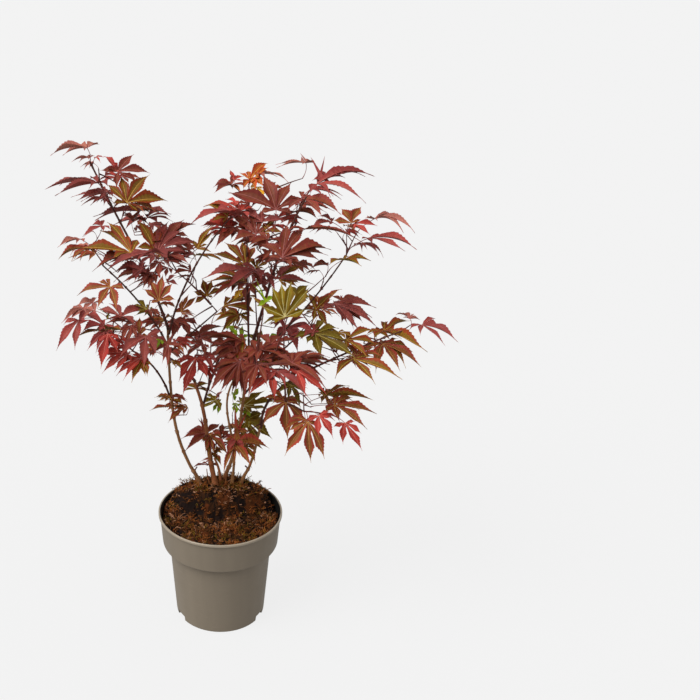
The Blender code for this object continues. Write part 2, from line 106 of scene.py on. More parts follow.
# The leading leaves of each mass. Twigs, stalks and the leaves of the far side grow to suit them.
# A lead's kind was chosen so that the leaf's tone comes out as it shows in the front view, so the kinds
# partly paint light and shade: a lighter kind for a leaf that sits in shade, a darker one for a leaf that
# catches the light.
LEADS = {
    "left_tip": (
        Lead("rose", (87, 148), 0.25, 0.09, 0, ((51, 153), (68, 159), (77, 143), (95, 135), (99, 142))),
        Lead("rose", (90, 158), 0.30, 0.09, -2, ((72, 161), (80, 163), (88, 151))),
        Lead("scarlet", (96, 157), 0.40, 0.10, -2, ((101, 166), (104, 157))),
    ),
    "left_crown_front": (
        Lead("plum", (98, 183), 0.15, 0.06, 0, ((45, 184), (56, 180), (66, 203), (95, 201))),
        Lead("plum", (106, 192), 0.30, 0.11, -4, ((79, 202), (92, 189), (103, 205))),
        Lead("garnet", (104, 200), 0.40, 0.12, -8, ((101, 204), (110, 206))),
    ),
    "left_crown": (
        Lead("burgundy", (118, 172), 0.80, 0.17, 0,
             ((134, 154), (150, 171), (101, 171), (136, 182), (115, 188))),
        Lead("scarlet", (118, 172), 0.50, 0.15, 1, ((102, 154), (112, 160))),
        Lead("bronze", (127, 203), 0.75, 0.16, 12, ((148, 173), (119, 175), (103, 187), (168, 202))),
        Lead("rust", (130, 204), 0.30, 0.15, 4, ((145, 214), (158, 211), (113, 205))),
    ),
    "left_shoulder": (
        Lead("plum", (137, 211), 0.15, 0.11, -4, ((101, 222), (97, 217), (172, 214))),
        Lead("plum", (147, 218), 0.30, 0.17, 0, ((171, 214), (173, 220), (157, 227), (158, 205))),
        Lead("wine", (132, 220), 0.30, 0.12, -8, ((150, 224), (120, 212))),
    ),
    "left_hand": (
        Lead("bronze", (131, 253), 0.50, 0.13, 10, ((102, 221), (97, 231), (79, 250), (119, 236))),
        Lead("wine", (129, 256), 0.35, 0.12, 6, ((99, 262), (97, 270))),
        Lead("rust", (91, 249), 0.30, 0.10, 4, ((58, 256), (72, 260), (76, 259), (83, 265))),
        Lead("rose", (80, 239), 0.30, 0.10, 0, ((60, 247), (66, 245), (78, 250))),
        Lead("garnet", (102, 226), 0.40, 0.13, -4, ((84, 236), (92, 225), (105, 233), (104, 219))),
        Lead("rose", (93, 231), 0.40, 0.12, -6, ((84, 234), (86, 238))),
    ),
    "left_heart": (
        Lead("bronze", (155, 251), 0.70, 0.14, 10, ((134, 219), (136, 249), (160, 226))),
        Lead("plum", (158, 251), 0.55, 0.15, 14, ((166, 220), (184, 229), (196, 243), (186, 253))),
        Lead("burgundy", (163, 256), 0.30, 0.11, 8, ((195, 251), (190, 263), (176, 259))),
        Lead("burgundy", (167, 240), 0.50, 0.16, 4, ((184, 219), (180, 238), (150, 243))),
        Lead("wine", (171, 236), 0.45, 0.14, -6, ((196, 223), (188, 236), (160, 232))),
        Lead("olive", (197, 249), 0.50, 0.09, -16, ((213, 222), (215, 232), (208, 245))),
        Lead("wine", (190, 250), 0.30, 0.12, -8, ((176, 243), (196, 244))),
        Lead("wine", (191, 271), 0.30, 0.15, 0, ((173, 275), (176, 266))),
    ),
    "left_breast": (
        Lead("plum", (152, 252), 0.30, 0.10, 14, ((110, 271), (139, 268), (172, 260))),
        Lead("wine", (148, 276), 0.25, 0.07, 6, ((112, 278), (122, 284), (125, 268), (146, 292))),
        Lead("plum", (141, 270), 0.40, 0.13, 8, ((112, 270), (133, 279), (139, 288), (144, 259))),
        Lead("burgundy", (160, 262), 0.50, 0.17, 6, ((159, 281), (148, 272))),
        Lead("wine", (152, 272), 0.50, 0.16, 2, ((150, 291), (143, 289), (158, 286))),
        Lead("rust", (159, 301), 0.85, 0.16, 22,
             ((163, 274), (175, 285), (149, 280), (141, 292), (176, 300), (151, 304))),
        Lead("plum", (167, 282), 0.40, 0.16, 0, ((176, 275), (178, 285))),
    ),
    "left_front": (
        Lead("rust", (110, 287), 0.55, 0.14, 10, ((77, 294), (98, 282), (100, 309), (120, 311), (126, 288))),
        Lead("rose", (93, 303), 0.40, 0.15, -2, ((77, 305), (97, 297), (84, 312), (98, 316), (104, 303))),
    ),
    "left_sleeve": (
        Lead("rose", (83, 308), 0.40, 0.09, 4, ((66, 325), (70, 310), (73, 324))),
        Lead("garnet", (79, 320), 0.70, 0.12, 12, ((59, 350), (76, 349), (88, 311))),
        Lead("garnet", (104, 326), 0.45, 0.15, 6, ((80, 316), (83, 331))),
        Lead("bronze", (106, 330), 0.20, 0.10, 4, ((78, 336), (124, 330))),
        Lead("plum", (121, 317), 0.45, 0.13, 6, ((97, 309), (109, 303), (147, 308), (137, 325))),
        Lead("moss", (109, 315), 0.60, 0.30, -2, ((107, 320), (110, 311))),
        Lead("rust", (139, 337), 0.80, 0.26, 2, ((139, 317), (146, 327))),
        Lead("wine", (131, 323), 0.20, 0.11, -2, ((104, 323), (119, 318))),
    ),
    "left_low": (
        Lead("garnet", (106, 331), 0.60, 0.14, 8, ((90, 344), (90, 350), (98, 352), (113, 348))),
        Lead("scarlet", (108, 334), 0.90, 0.15, 22, ((102, 368), (119, 351))),
        Lead("burgundy", (131, 326), 0.70, 0.14, 4, ((120, 342), (128, 347), (139, 338))),
        Lead("plum", (146, 337), 0.60, 0.17, 8, ((146, 366), (119, 355), (158, 354), (162, 331))),
        Lead("crimson", (128, 354), 0.50, 0.13, 6, ((104, 371), (98, 354), (118, 372))),
        Lead("crimson", (142, 358), 0.55, 0.12, 4, ((118, 374), (126, 378), (116, 366))),
        Lead("bronze", (142, 361), 0.65, 0.16, 8, ((132, 381), (146, 375), (150, 375))),
        Lead("scarlet", (125, 347), 0.40, 0.12, -4, ((108, 345), (112, 339), (116, 352))),
        Lead("burgundy", (168, 345), 0.50, 0.13, -2,
             ((152, 338), (155, 353), (165, 364), (173, 369), (182, 346))),
        Lead("leafgreen", (162, 340), 0.50, 0.25, -2, ((154, 350), (158, 343))),
        Lead("moss", (147, 310), 0.40, 0.16, 0, ((134, 298), (131, 305))),
        Lead("wine", (149, 310), 0.40, 0.15, 2, ((161, 318), (154, 322))),
        Lead("crimson", (174, 342), 0.20, 0.08, -4, ((196, 338), (186, 334))),
        Lead("rust", (176, 343), 0.50, 0.15, -6, ((185, 354), (181, 346))),
        Lead("bronze", (172, 361), 0.40, 0.15, -4, ((183, 367), (176, 369))),
    ),
    "left_low_back": (
        Lead("olive", (196, 389), 0.25, 0.13, 4, ((183, 391), (184, 386), (210, 384), (209, 391))),
    ),
    "middle_twig": (
        Lead("bronze", (207, 296), 0.85, 0.20, 10,
             ((202, 278), (214, 280), (193, 292), (222, 289), (195, 305))),
        Lead("rust", (181, 312), 0.60, 0.11, 0, ((198, 297), (188, 294), (181, 299), (173, 312))),
        Lead("burgundy", (181, 320), 0.50, 0.17, -2, ((171, 340), (193, 337), (199, 324))),
        Lead("burgundy", (196, 337), 0.30, 0.08, -6, ((226, 325), (232, 339), (186, 333))),
        Lead("leafgreen", (229, 326), 0.50, 0.20, -6, ((238, 338), (232, 333))),
        Lead("wine", (196, 340), 0.40, 0.20, -6, ((183, 337), (204, 345))),
    ),
    "band_left": (
        Lead("wine", (203, 345), 0.50, 0.12, -2, ((184, 358), (208, 358), (186, 343), (193, 349))),
        Lead("scarlet", (196, 358), 0.70, 0.14, 10, ((183, 394), (211, 377), (177, 379))),
        Lead("garnet", (205, 355), 0.60, 0.12, 4, ((214, 372), (196, 372), (219, 362))),
        Lead("crimson", (205, 367), 0.50, 0.14, -6, ((218, 378), (213, 383), (196, 371))),
        Lead("wine", (232, 347), 0.30, 0.14, -8, ((207, 347), (211, 341), (214, 356))),
        Lead("wine", (245, 343), 0.20, 0.07, -8, ((202, 338), (216, 346))),
        Lead("wine", (238, 357), 0.60, 0.13, 4, ((234, 337), (248, 340), (222, 344), (213, 354))),
        Lead("bronze", (242, 356), 0.60, 0.17, 8, ((243, 339), (255, 346), (230, 362))),
        Lead("wine", (240, 362), 0.50, 0.11, 22,
             ((209, 390), (222, 392), (235, 394), (248, 401), (213, 371))),
        Lead("garnet", (237, 366), 0.70, 0.11, 14, ((218, 384), (234, 391), (250, 386))),
        Lead("burgundy", (224, 355), 0.40, 0.10, -4, ((206, 356), (211, 366), (216, 349))),
        Lead("wine", (240, 352), 0.40, 0.12, -4, ((214, 358), (218, 368), (243, 336), (228, 340))),
        Lead("burgundy", (243, 358), 0.50, 0.11, 8, ((222, 364), (214, 373), (253, 372), (233, 377))),
        Lead("wine", (243, 370), 0.50, 0.11, 6, ((240, 396), (231, 394), (222, 386))),
        Lead("burgundy", (252, 362), 0.60, 0.20, -16, ((240, 352), (262, 350), (264, 372), (242, 376))),
    ),
    "band_right": (
        Lead("wine", (262, 360), 0.40, 0.12, 10, ((298, 357), (277, 345), (258, 341), (240, 352))),
        Lead("crimson", (271, 373), 0.70, 0.13, 18, ((273, 401), (247, 394), (254, 375))),
        Lead("wine", (257, 365), 0.50, 0.11, 12, ((248, 396), (268, 385), (243, 383))),
        Lead("burgundy", (284, 365), 0.15, 0.09, 6, ((336, 360), (313, 353), (330, 364))),
        Lead("garnet", (277, 371), 0.50, 0.09, 12, ((307, 398), (284, 388), (262, 383))),
        Lead("burgundy", (270, 345), 0.35, 0.15, -8, ((296, 340), (283, 335), (256, 336))),
        Lead("bronze", (268, 362), 0.50, 0.20, 2, ((282, 365), (258, 362), (272, 354))),
        Lead("wine", (256, 352), 0.50, 0.18, -8, ((250, 338), (265, 340), (244, 350))),
        Lead("wine", (261, 350), 0.35, 0.10, 2,
             ((289, 352), (285, 359), (274, 344), (252, 368), (244, 358))),
        Lead("burgundy", (279, 362), 0.25, 0.09, 4, ((296, 364), (312, 371), (321, 359), (303, 352))),
        Lead("wine", (250, 352), 0.50, 0.16, -20, ((250, 372), (236, 360), (266, 364), (258, 340))),
    ),
    "band_front": (
        Lead("scarlet", (297, 371), 0.60, 0.11, 14, ((324, 393), (304, 395), (287, 372))),
        Lead("wine", (292, 363), 0.40, 0.08, 4, ((325, 387), (308, 352), (277, 357))),
        Lead("wine", (300, 358), 0.25, 0.07, -6, ((318, 351), (330, 356))),
    ),
    "crown_back": (
        Lead("rose", (306, 163), 0.15, 0.07, 0,
             ((276, 164), (278, 169), (302, 169), (313, 160), (316, 164))),
        Lead("burgundy", (231, 185), 0.40, 0.17, 0, ((213, 186), (240, 172), (215, 194), (246, 185))),
        Lead("scarlet", (234, 180), 0.50, 0.13, -4, ((229, 167), (244, 176))),
        Lead("amber", (231, 185), 0.40, 0.10, -6, ((218, 179), (233, 191), (243, 193))),
        Lead("amber", (250, 180), 0.50, 0.15, -6,
             ((269, 161), (247, 169), (265, 179), (241, 190), (255, 193))),
        Lead("rose", (258, 175), 0.30, 0.07, -8, ((290, 181), (277, 176))),
        Lead("amber", (256, 177), 0.60, 0.20, -5, ((268, 167), (262, 188), (247, 186))),
        Lead("gold", (257, 187), 0.70, 0.24, 0, ((264, 201), (250, 195), (250, 187))),
        Lead("amber", (271, 188), 0.40, 0.15, -8, ((277, 180), (284, 189))),
        Lead("burgundy", (249, 204), 0.40, 0.10, 0, ((228, 191), (236, 204))),
    ),
    "crown_left": (
        Lead("crimson", (240, 211), 0.35, 0.11, -2, ((202, 203), (227, 197), (250, 204))),
        Lead("scarlet", (238, 204), 0.40, 0.20, -6, ((226, 198), (230, 204))),
        Lead("bronze", (228, 217), 0.50, 0.15, -4, ((204, 204), (212, 222))),
        Lead("garnet", (236, 214), 0.30, 0.12, 2, ((190, 221), (214, 212), (250, 219))),
        Lead("crimson", (230, 229), 0.30, 0.15, -2, ((201, 224), (207, 231), (241, 224))),
        Lead("wine", (234, 227), 0.60, 0.14, -4, ((214, 248), (222, 243), (243, 238))),
        Lead("wine", (256, 235), 0.60, 0.17, 8, ((230, 216), (251, 210), (265, 211), (232, 242))),
        Lead("bronze", (262, 233), 0.50, 0.17, 4, ((283, 231), (277, 218), (268, 221))),
        Lead("plum", (262, 222), 0.50, 0.14, 0, ((241, 209), (262, 209), (285, 221))),
        Lead("wine", (250, 221), 0.40, 0.14, -8, ((236, 230), (238, 213))),
    ),
    "crown_right": (
        Lead("wine", (276, 210), 0.70, 0.16, 16, ((261, 173), (295, 183), (228, 193), (304, 199))),
        Lead("burgundy", (303, 199), 0.40, 0.10, 8, ((340, 213), (320, 223), (283, 213), (308, 194))),
        Lead("crimson", (277, 219), 0.20, 0.14, -4, ((307, 218), (290, 211), (300, 225))),
        Lead("wine", (296, 212), 0.30, 0.13, -8, ((284, 223), (318, 220), (310, 208))),
        Lead("garnet", (262, 203), 0.30, 0.12, 0, ((250, 207), (268, 211), (274, 205))),
    ),
    "crown_olive": (
        Lead("bronze", (246, 266), 0.60, 0.15, 12, ((223, 243), (209, 254), (242, 240))),
        Lead("rust", (248, 262), 0.60, 0.17, 4, ((244, 243), (258, 247), (232, 262))),
        Lead("olive", (256, 268), 0.50, 0.18, 0, ((262, 255), (270, 262), (247, 259))),
    ),
    "crown_fan": (
        Lead("wine", (282, 258), 0.60, 0.14, 20, ((291, 222), (335, 249), (310, 230), (260, 246))),
        Lead("wine", (283, 258), 0.50, 0.10, 16, ((328, 252), (320, 259), (300, 262))),
        Lead("wine", (268, 240), 0.40, 0.14, -8, ((248, 246), (284, 243), (258, 232))),
        Lead("wine", (306, 229), 0.27, 0.04, 4, ((362, 241), (331, 232), (297, 238))),
        Lead("wine", (272, 251), 0.50, 0.14, 2, ((252, 243), (262, 262), (293, 243))),
    ),
    "crown_heart": (
        Lead("plum", (256, 270), 0.25, 0.09, 22, ((202, 276), (230, 295))),
        Lead("bronze", (244, 281), 0.25, 0.10, 6, ((207, 281), (214, 271))),
        Lead("wine", (241, 282), 0.30, 0.08, 2, ((213, 300), (226, 288))),
        Lead("plum", (275, 279), 0.45, 0.12, 18, ((259, 273), (270, 262), (300, 263), (312, 285))),
        Lead("bronze", (280, 277), 0.60, 0.18, 6, ((303, 266), (299, 283), (283, 266))),
        Lead("wine", (262, 284), 0.50, 0.13, 12, ((250, 272), (246, 294), (268, 295))),
        Lead("plum", (266, 275), 0.40, 0.12, 16, ((258, 289), (277, 295), (250, 268))),
        Lead("wine", (299, 262), 0.30, 0.14, 2, ((313, 273), (308, 264))),
        Lead("wine", (268, 256), 0.40, 0.14, 0, ((258, 266), (279, 265), (262, 246))),
    ),
    "lime": (
        Lead("lime", (285, 317), 1.00, 0.20, 18,
             ((290, 281), (269, 287), (311, 289), (261, 308), (306, 311), (273, 320), (279, 283))),
        Lead("moss", (296, 296), 0.60, 0.20, 0, ((309, 285), (311, 298), (287, 286))),
        Lead("leafgreen", (267, 302), 0.60, 0.25, 4, ((275, 296), (258, 307))),
        Lead("olive", (262, 306), 0.50, 0.16, -6, ((252, 297), (272, 310))),
    ),
    "crown_under": (
        Lead("bronze", (224, 306), 0.50, 0.15, 6, ((257, 311), (247, 298), (238, 318))),
        Lead("olive", (240, 314), 0.60, 0.11, 2, ((221, 334), (217, 318), (249, 323))),
        Lead("wine", (248, 284), 0.60, 0.20, 10, ((244, 304), (256, 297), (236, 291))),
        Lead("gold", (246, 289), 0.60, 0.20, 2, ((232, 300), (240, 299))),
        Lead("olive", (247, 296), 0.50, 0.20, -4, ((228, 303), (251, 309), (258, 298))),
    ),
    "right_top": (
        Lead("garnet", (317, 184), 0.35, 0.06, 6, ((378, 171), (369, 172), (362, 203), (327, 203))),
        Lead("garnet", (321, 181), 0.40, 0.08, 2, ((346, 176), (312, 181))),
    ),
    "right_arm": (
        Lead("rust", (351, 223), 0.85, 0.27, 4, ((363, 207), (339, 210), (333, 222))),
        Lead("scarlet", (354, 224), 0.50, 0.12, 2, ((377, 225), (368, 236))),
        Lead("plum", (332, 222), 0.30, 0.12, -6, ((309, 229), (322, 212))),
    ),
    "right_hand": (
        Lead("rose", (374, 219), 0.25, 0.07, 0, ((412, 230), (400, 238), (375, 229), (365, 220))),
        Lead("garnet", (369, 238), 0.30, 0.08, 6, ((412, 247), (396, 258), (369, 252), (361, 240))),
    ),
    "right_olive": (
        Lead("olive", (343, 260), 0.12, 0.12, 0, ((372, 259), (326, 264), (358, 267))),
        Lead("wine", (328, 265), 0.10, 0.12, -4, ((309, 268), (316, 262))),
    ),
    "right_back": (
        Lead("garnet", (287, 328), 0.60, 0.15, 8,
             ((299, 352), (277, 321), (313, 325), (306, 318), (273, 345))),
        Lead("burgundy", (281, 322), 0.40, 0.12, -4, ((268, 317), (291, 318), (274, 330))),
        Lead("rust", (322, 308), 0.50, 0.11, 6, ((336, 292), (346, 290), (312, 295), (333, 300))),
    ),
    "right_middle": (
        Lead("bronze", (316, 309), 0.60, 0.17, 4, ((308, 292), (326, 328), (335, 296), (313, 322))),
        Lead("plum", (335, 304), 0.50, 0.10, 8,
             ((376, 305), (370, 316), (373, 326), (351, 333), (343, 326), (320, 310))),
        Lead("burgundy", (341, 301), 0.50, 0.12, 2, ((360, 297), (355, 312), (331, 297))),
        Lead("burgundy", (346, 311), 0.50, 0.15, 0, ((352, 328), (362, 321), (340, 323))),
    ),
    "right_wide": (
        Lead("moss", (315, 334), 0.55, 0.14, 8,
             ((352, 357), (318, 358), (305, 343), (346, 341), (338, 327))),
        Lead("garnet", (313, 333), 0.40, 0.16, 10, ((296, 327), (323, 324), (303, 337))),
        Lead("bronze", (346, 340), 0.50, 0.12, 4, ((377, 329), (378, 345), (366, 358))),
        Lead("olive", (338, 332), 0.40, 0.18, 0, ((345, 341), (324, 329), (352, 336))),
        Lead("bronze", (353, 359), 0.50, 0.09, 8, ((398, 378), (372, 382), (331, 375))),
        Lead("rust", (356, 355), 0.40, 0.12, 0, ((382, 355), (344, 344), (375, 347))),
    ),
    "far_right": (
        Lead("rust", (383, 344), 0.50, 0.12, 6, ((417, 364), (395, 371), (368, 370), (362, 348))),
        Lead("bronze", (384, 331), 0.35, 0.10, 2, ((416, 360), (411, 320), (371, 341), (391, 340))),
        Lead("bronze", (388, 343), 0.40, 0.10, 0, ((402, 367), (408, 347))),
        Lead("rose", (410, 319), 0.20, 0.10, -4, ((397, 312), (420, 320), (404, 309))),
        Lead("garnet", (422, 325), 0.35, 0.09, 2, ((453, 340), (437, 348), (416, 337), (438, 326))),
    ),
    "right_low": (
        Lead("bronze", (325, 396), 0.30, 0.06, 0, ((372, 397), (348, 384), (331, 386), (319, 408))),
        Lead("rust", (334, 405), 0.50, 0.12, 8,
             ((375, 413), (361, 427), (335, 423), (353, 398), (339, 416))),
    ),
    "hanging": (
        Lead("scarlet", (345, 423), 0.80, 0.13, 6, ((362, 449), (340, 443), (333, 426), (361, 433))),
        Lead("scarlet", (319, 416), 0.80, 0.15, 26, ((334, 436), (316, 436), (306, 420), (330, 418))),
        Lead("rust", (308, 422), 0.95, 0.14, 20, ((309, 462), (281, 452), (327, 457), (288, 429))),
    ),
    "low_bronze": (
        Lead("rust", (286, 402), 0.90, 0.16, 14, ((287, 439), (260, 422), (305, 421))),
        Lead("rust", (284, 400), 0.40, 0.13, 4, ((262, 398), (271, 392))),
        Lead("moss", (291, 385), 0.60, 0.10, -6, ((300, 408), (286, 400), (277, 392))),
    ),
    "low_centre": (
        Lead("lime", (244, 406), 0.50, 0.14, 10, ((265, 392), (277, 402), (268, 409))),
        Lead("moss", (246, 421), 0.60, 0.17, 12, ((272, 436), (259, 441), (263, 413), (248, 404))),
        Lead("lime", (250, 416), 0.60, 0.18, 6, ((262, 425), (240, 410), (247, 432))),
        Lead("leafgreen", (247, 409), 0.80, 0.30, 14, ((250, 417), (243, 414))),
        Lead("leafgreen", (236, 403), 0.80, 0.30, 6, ((236, 414), (233, 411))),
        Lead("leafgreen", (233, 396), 0.80, 0.30, 6, ((239, 388), (235, 401))),
        Lead("moss", (240, 427), 0.60, 0.20, 2, ((246, 440), (234, 420))),
    ),
    "low_back": (
        Lead("leafgreen", (241, 339), 0.70, 0.17, 4, ((242, 325), (250, 335))),
        Lead("moss", (257, 343), 0.70, 0.20, 4, ((263, 330), (248, 334))),
        Lead("leafgreen", (266, 343), 0.40, 0.15, 2, ((281, 335), (273, 344))),
        Lead("lime", (216, 400), 0.50, 0.22, 6, ((201, 403), (206, 395), (202, 409), (222, 410))),
        Lead("leafgreen", (219, 402), 0.80, 0.22, 6, ((218, 414), (212, 411))),
        Lead("rose", (215, 400), 0.50, 0.14, 0, ((223, 391), (220, 397))),
    ),
    "left_ankle": (
        Lead("bronze", (171, 399), 0.30, 0.17, 2, ((154, 397), (184, 402))),
        Lead("wine", (172, 397), 0.20, 0.12, -4, ((187, 402), (183, 397))),
        Lead("rust", (173, 407), 0.20, 0.14, 6, ((150, 409), (186, 407))),
        Lead("rust", (184, 409), 0.40, 0.14, 8, ((168, 420), (177, 410))),
    ),
    "whorl": (
        Lead("wine", (207, 433), 0.35, 0.12, 6, ((182, 437), (188, 452), (222, 426))),
        Lead("rust", (210, 436), 0.50, 0.13, 4, ((228, 454), (205, 452), (213, 451))),
        Lead("wine", (221, 438), 0.60, 0.30, 2, ((229, 431), (222, 424))),
        Lead("bronze", (213, 456), 0.40, 0.20, 0, ((223, 450), (220, 466))),
        Lead("wine", (208, 465), 0.20, 0.09, 0, ((191, 467), (220, 466))),
        Lead("bronze", (209, 437), 0.60, 0.20, 4, ((208, 455), (215, 452))),
        Lead("olive", (213, 456), 0.40, 0.20, 0, ((222, 448), (217, 450))),
    ),
    "whorl_right": (
        Lead("rust", (234, 444), 0.45, 0.11, 8, ((270, 447), (248, 468), (238, 458), (222, 441))),
        Lead("garnet", (236, 440), 0.50, 0.14, 4, ((225, 453), (258, 437), (245, 452))),
        Lead("bronze", (245, 446), 0.50, 0.20, 2, ((256, 461), (254, 450))),
        Lead("rust", (238, 432), 0.50, 0.14, 0, ((228, 424), (250, 432))),
        Lead("rust", (234, 447), 0.50, 0.12, 6, ((228, 460), (222, 472), (235, 464))),
    ),
}


class LeafKind(NamedTuple):
    """How one colour of leaf is made: a slot name, and its shade and rib against the blade."""

    slot: str
    shade: tuple            # what the blade's colour is multiplied by at the edges
    rib: tuple              # colour of the midribs
    droop: float            # how far the lobes bend down, in degrees
    web: float = 1.0        # how far the lobes are joined, against the other kinds


GOLD = (0.50, 0.28, 0.045)
PINK = (0.40, 0.110, 0.090)
LEAF_KINDS = {
    "burgundy": LeafKind("leaves_burgundy", (1.05, 0.68, 0.95), PINK, 40),
    "garnet": LeafKind("leaves_burgundy", (0.95, 0.75, 0.80), PINK, 48),
    "plum": LeafKind("leaves_burgundy", (0.85, 0.85, 0.90), PINK, 34),
    "wine": LeafKind("leaves_burgundy", (1.00, 0.66, 0.95), (0.30, 0.085, 0.070), 40),
    "bronze": LeafKind("leaves_bronze", (1.30, 0.45, 1.00), GOLD, 36),
    "rust": LeafKind("leaves_bronze", (1.30, 0.55, 1.20), (0.46, 0.22, 0.06), 42),
    "olive": LeafKind("leaves_olive", (1.25, 0.50, 0.90), GOLD, 28),
    "moss": LeafKind("leaves_olive", (0.90, 0.75, 0.90), (0.40, 0.30, 0.07), 28),
    "lime": LeafKind("leaves_olive", (0.85, 0.68, 0.70), (0.58, 0.50, 0.20), 14, 2.4),
    "leafgreen": LeafKind("leaves_olive", (0.90, 0.90, 0.90), (0.30, 0.34, 0.05), 20),
    "crimson": LeafKind("leaves_crimson", (0.85, 0.80, 0.90), PINK, 42),
    "scarlet": LeafKind("leaves_crimson", (0.95, 0.85, 0.90), (0.60, 0.14, 0.10), 34),
    "amber": LeafKind("leaves_crimson", (1.05, 0.60, 0.80), (0.66, 0.34, 0.06), 26),
    "gold": LeafKind("leaves_olive", (1.00, 0.85, 0.80), (0.70, 0.52, 0.12), 26),
    "rose": LeafKind("leaves_rose", (0.90, 0.80, 0.85), (0.55, 0.17, 0.15), 44),
}


def colour_property(name, description, value):
    """A colour that can be changed in the sidebar."""
    return FloatVectorProperty(
        name=name, description=description, default=value, subtype="COLOR", size=3, min=0.0, max=1.0
    )


def length_property(name, description, value):
    """A length in metres."""
    return FloatProperty(name=name, description=description, default=value, unit="LENGTH")


def angle_property(name, description, degrees):
    """An angle, given here in degrees."""
    return FloatProperty(name=name, description=description, default=math.radians(degrees), subtype="ANGLE")


def share_property(name, description, value, least=0.0, most=1.0):
    """A share, shown as a slider from the least to the most."""
    return FloatProperty(
        name=name, description=description, default=value, subtype="FACTOR", min=least, max=most
    )


def strength_property(name, description, value, least=0.0):
    """A strength or a plain measure, with no unit of its own."""
    return FloatProperty(name=name, description=description, default=value, min=least)


def count_property(name, description, value, least=0):
    """A whole number of things."""
    return IntProperty(name=name, description=description, default=value, min=least)


class MapleLeafColours(bpy.types.PropertyGroup):
    """The blade colour of each kind of leaf."""

    burgundy: colour_property("Burgundy", "Most of the crown", (0.262, 0.066, 0.033))
    garnet: colour_property("Garnet", "Long drooping leaves at the tips", (0.370, 0.072, 0.056))
    # Plum is a lighter, greyer burgundy that paints the sheen of the bright surroundings on top-lit leaves:
    # painted sheen, not a waxy bloom of the leaf.
    plum: colour_property("Plum", "Broad leaves with a soft bloom", (0.300, 0.063, 0.048))
    # Wine is a darker copy of burgundy for leaves deep in the crown and others that came out too bright:
    # painted shade, on top of the leaves' own deeper tone.
    wine: colour_property("Wine", "Dark leaves inside the crown", (0.222, 0.054, 0.024))
    bronze: colour_property("Bronze", "Brown-green leaves with gold ribs", (0.222, 0.108, 0.012))
    rust: colour_property("Rust", "Red-brown leaves", (0.285, 0.100, 0.024))
    olive: colour_property("Olive", "Olive leaves in the shade", (0.220, 0.130, 0.010))
    moss: colour_property("Moss", "Green leaves with bronze edges", (0.184, 0.125, 0.007))
    lime: colour_property("Lime", "The one yellow-green leaf", (0.270, 0.189, 0.010))
    # Leaf green is made lighter than these new leaves are, to lift the ones that sit in shade: partly painted
    # light.
    leafgreen: colour_property("Leaf green", "New leaves near the stems", (0.315, 0.470, 0.013))
    crimson: colour_property("Crimson", "Hanging red leaves", (0.385, 0.043, 0.026))
    # Scarlet's bright red paints the light that shines through thin backlit blades, which are opaque here:
    # painted glow.
    scarlet: colour_property("Scarlet", "The brightest leaves", (0.490, 0.058, 0.040))
    amber: colour_property("Amber", "Orange leaves at the top", (0.520, 0.125, 0.022))
    gold: colour_property("Gold", "Yellow leaf at the top", (0.660, 0.360, 0.022))
    rose: colour_property("Rose", "Thin new leaves", (0.455, 0.165, 0.112))


class MapleLeafShape(bpy.types.PropertyGroup):
    """The outline and relief of a leaf."""

    teeth: count_property("Teeth", "Teeth on each side of a lobe", 11, 3)
    tooth_depth: share_property("Tooth depth", "Depth of a notch against the half-width", 0.11, 0.0, 0.6)
    web: share_property("Web", "Share of the leaf's length where its lobes are joined", 0.12, 0.05, 0.5)
    spread: angle_property("Spread", "Angle from one lobe to the next", 37)
    fold: angle_property("Fold", "Angle by which each lobe is folded up along its midrib", 30)
    pleats: share_property("Pleats", "Depth of the pleat at a tooth against the half-width", 0.20, 0.0, 0.6)
    rib_width: length_property("Rib width", "Width of a midrib at its foot", 1.7 * MM)
    fullness: strength_property("Fullness", "Width of the lobes against their usual width", 1.23, 0.3)
    back_leaves: strength_property("Back leaves", "Leaves on the far side for each leading leaf", 1.0)


class MapleWood(bpy.types.PropertyGroup):
    """Stems, boughs, twigs and leaf stalks."""

    bark_step: length_property("Bark step", "Distance between rings of bark", 2.2 * MM)
    sides: count_property("Sides", "Faces round a limb", 12, 5)
    stem_girth: share_property("Stem girth", "Share of its frame's girth that a stem has", 0.78, 0.3, 1.2)
    twig_girth: length_property("Twig girth", "Radius of a twig at its foot", 0.85 * MM)
    stalk_girth: length_property("Stalk girth", "Radius of a leaf stalk", 0.42 * MM)
    old_bark: colour_property("Old bark", "Bark near the ground", (0.260, 0.118, 0.045))
    young_bark: colour_property("Young bark", "Bark of the thin boughs", (0.062, 0.022, 0.016))
    red_bark: colour_property("Red bark", "Bark of the thickest stem", (0.235, 0.070, 0.025))
    twig: colour_property("Twig", "Twigs", (0.125, 0.026, 0.020))
    stalk: colour_property("Stalk", "Leaf stalks", (0.330, 0.060, 0.055))


class MaplePot(bpy.types.PropertyGroup):
    """The pot and what fills it."""

    segments: count_property("Segments", "Faces round the pot", 144, 24)
    plastic: colour_property("Plastic", "Outside of the pot", (0.216, 0.178, 0.132))
    inside: colour_property("Inside", "Inside of the pot", (0.010, 0.010, 0.009))
    tufts: count_property("Tufts", "Tufts of fibre on the mix", 396)
    foot_tufts: count_property("Tufts at the stems", "Tufts round the foot of each stem", 6)
    chips: count_property("Chips", "Chips of bark and peat on the mix", 1500)
    fibre_rust: colour_property("Rust fibre", "Most of the fibres", (0.330, 0.105, 0.024))
    # Brown fibre is a darker copy of the rust fibre for tufts low on the mix: painted shade, partly the
    # fibres' own browner tone.
    fibre_brown: colour_property("Brown fibre", "Fibres in the shade", (0.105, 0.037, 0.010))
    fibre_tan: colour_property("Tan fibre", "Dry fibres", (0.420, 0.210, 0.120))
    peat: colour_property("Peat", "The dark bed under the fibres", (0.007, 0.003, 0.002))


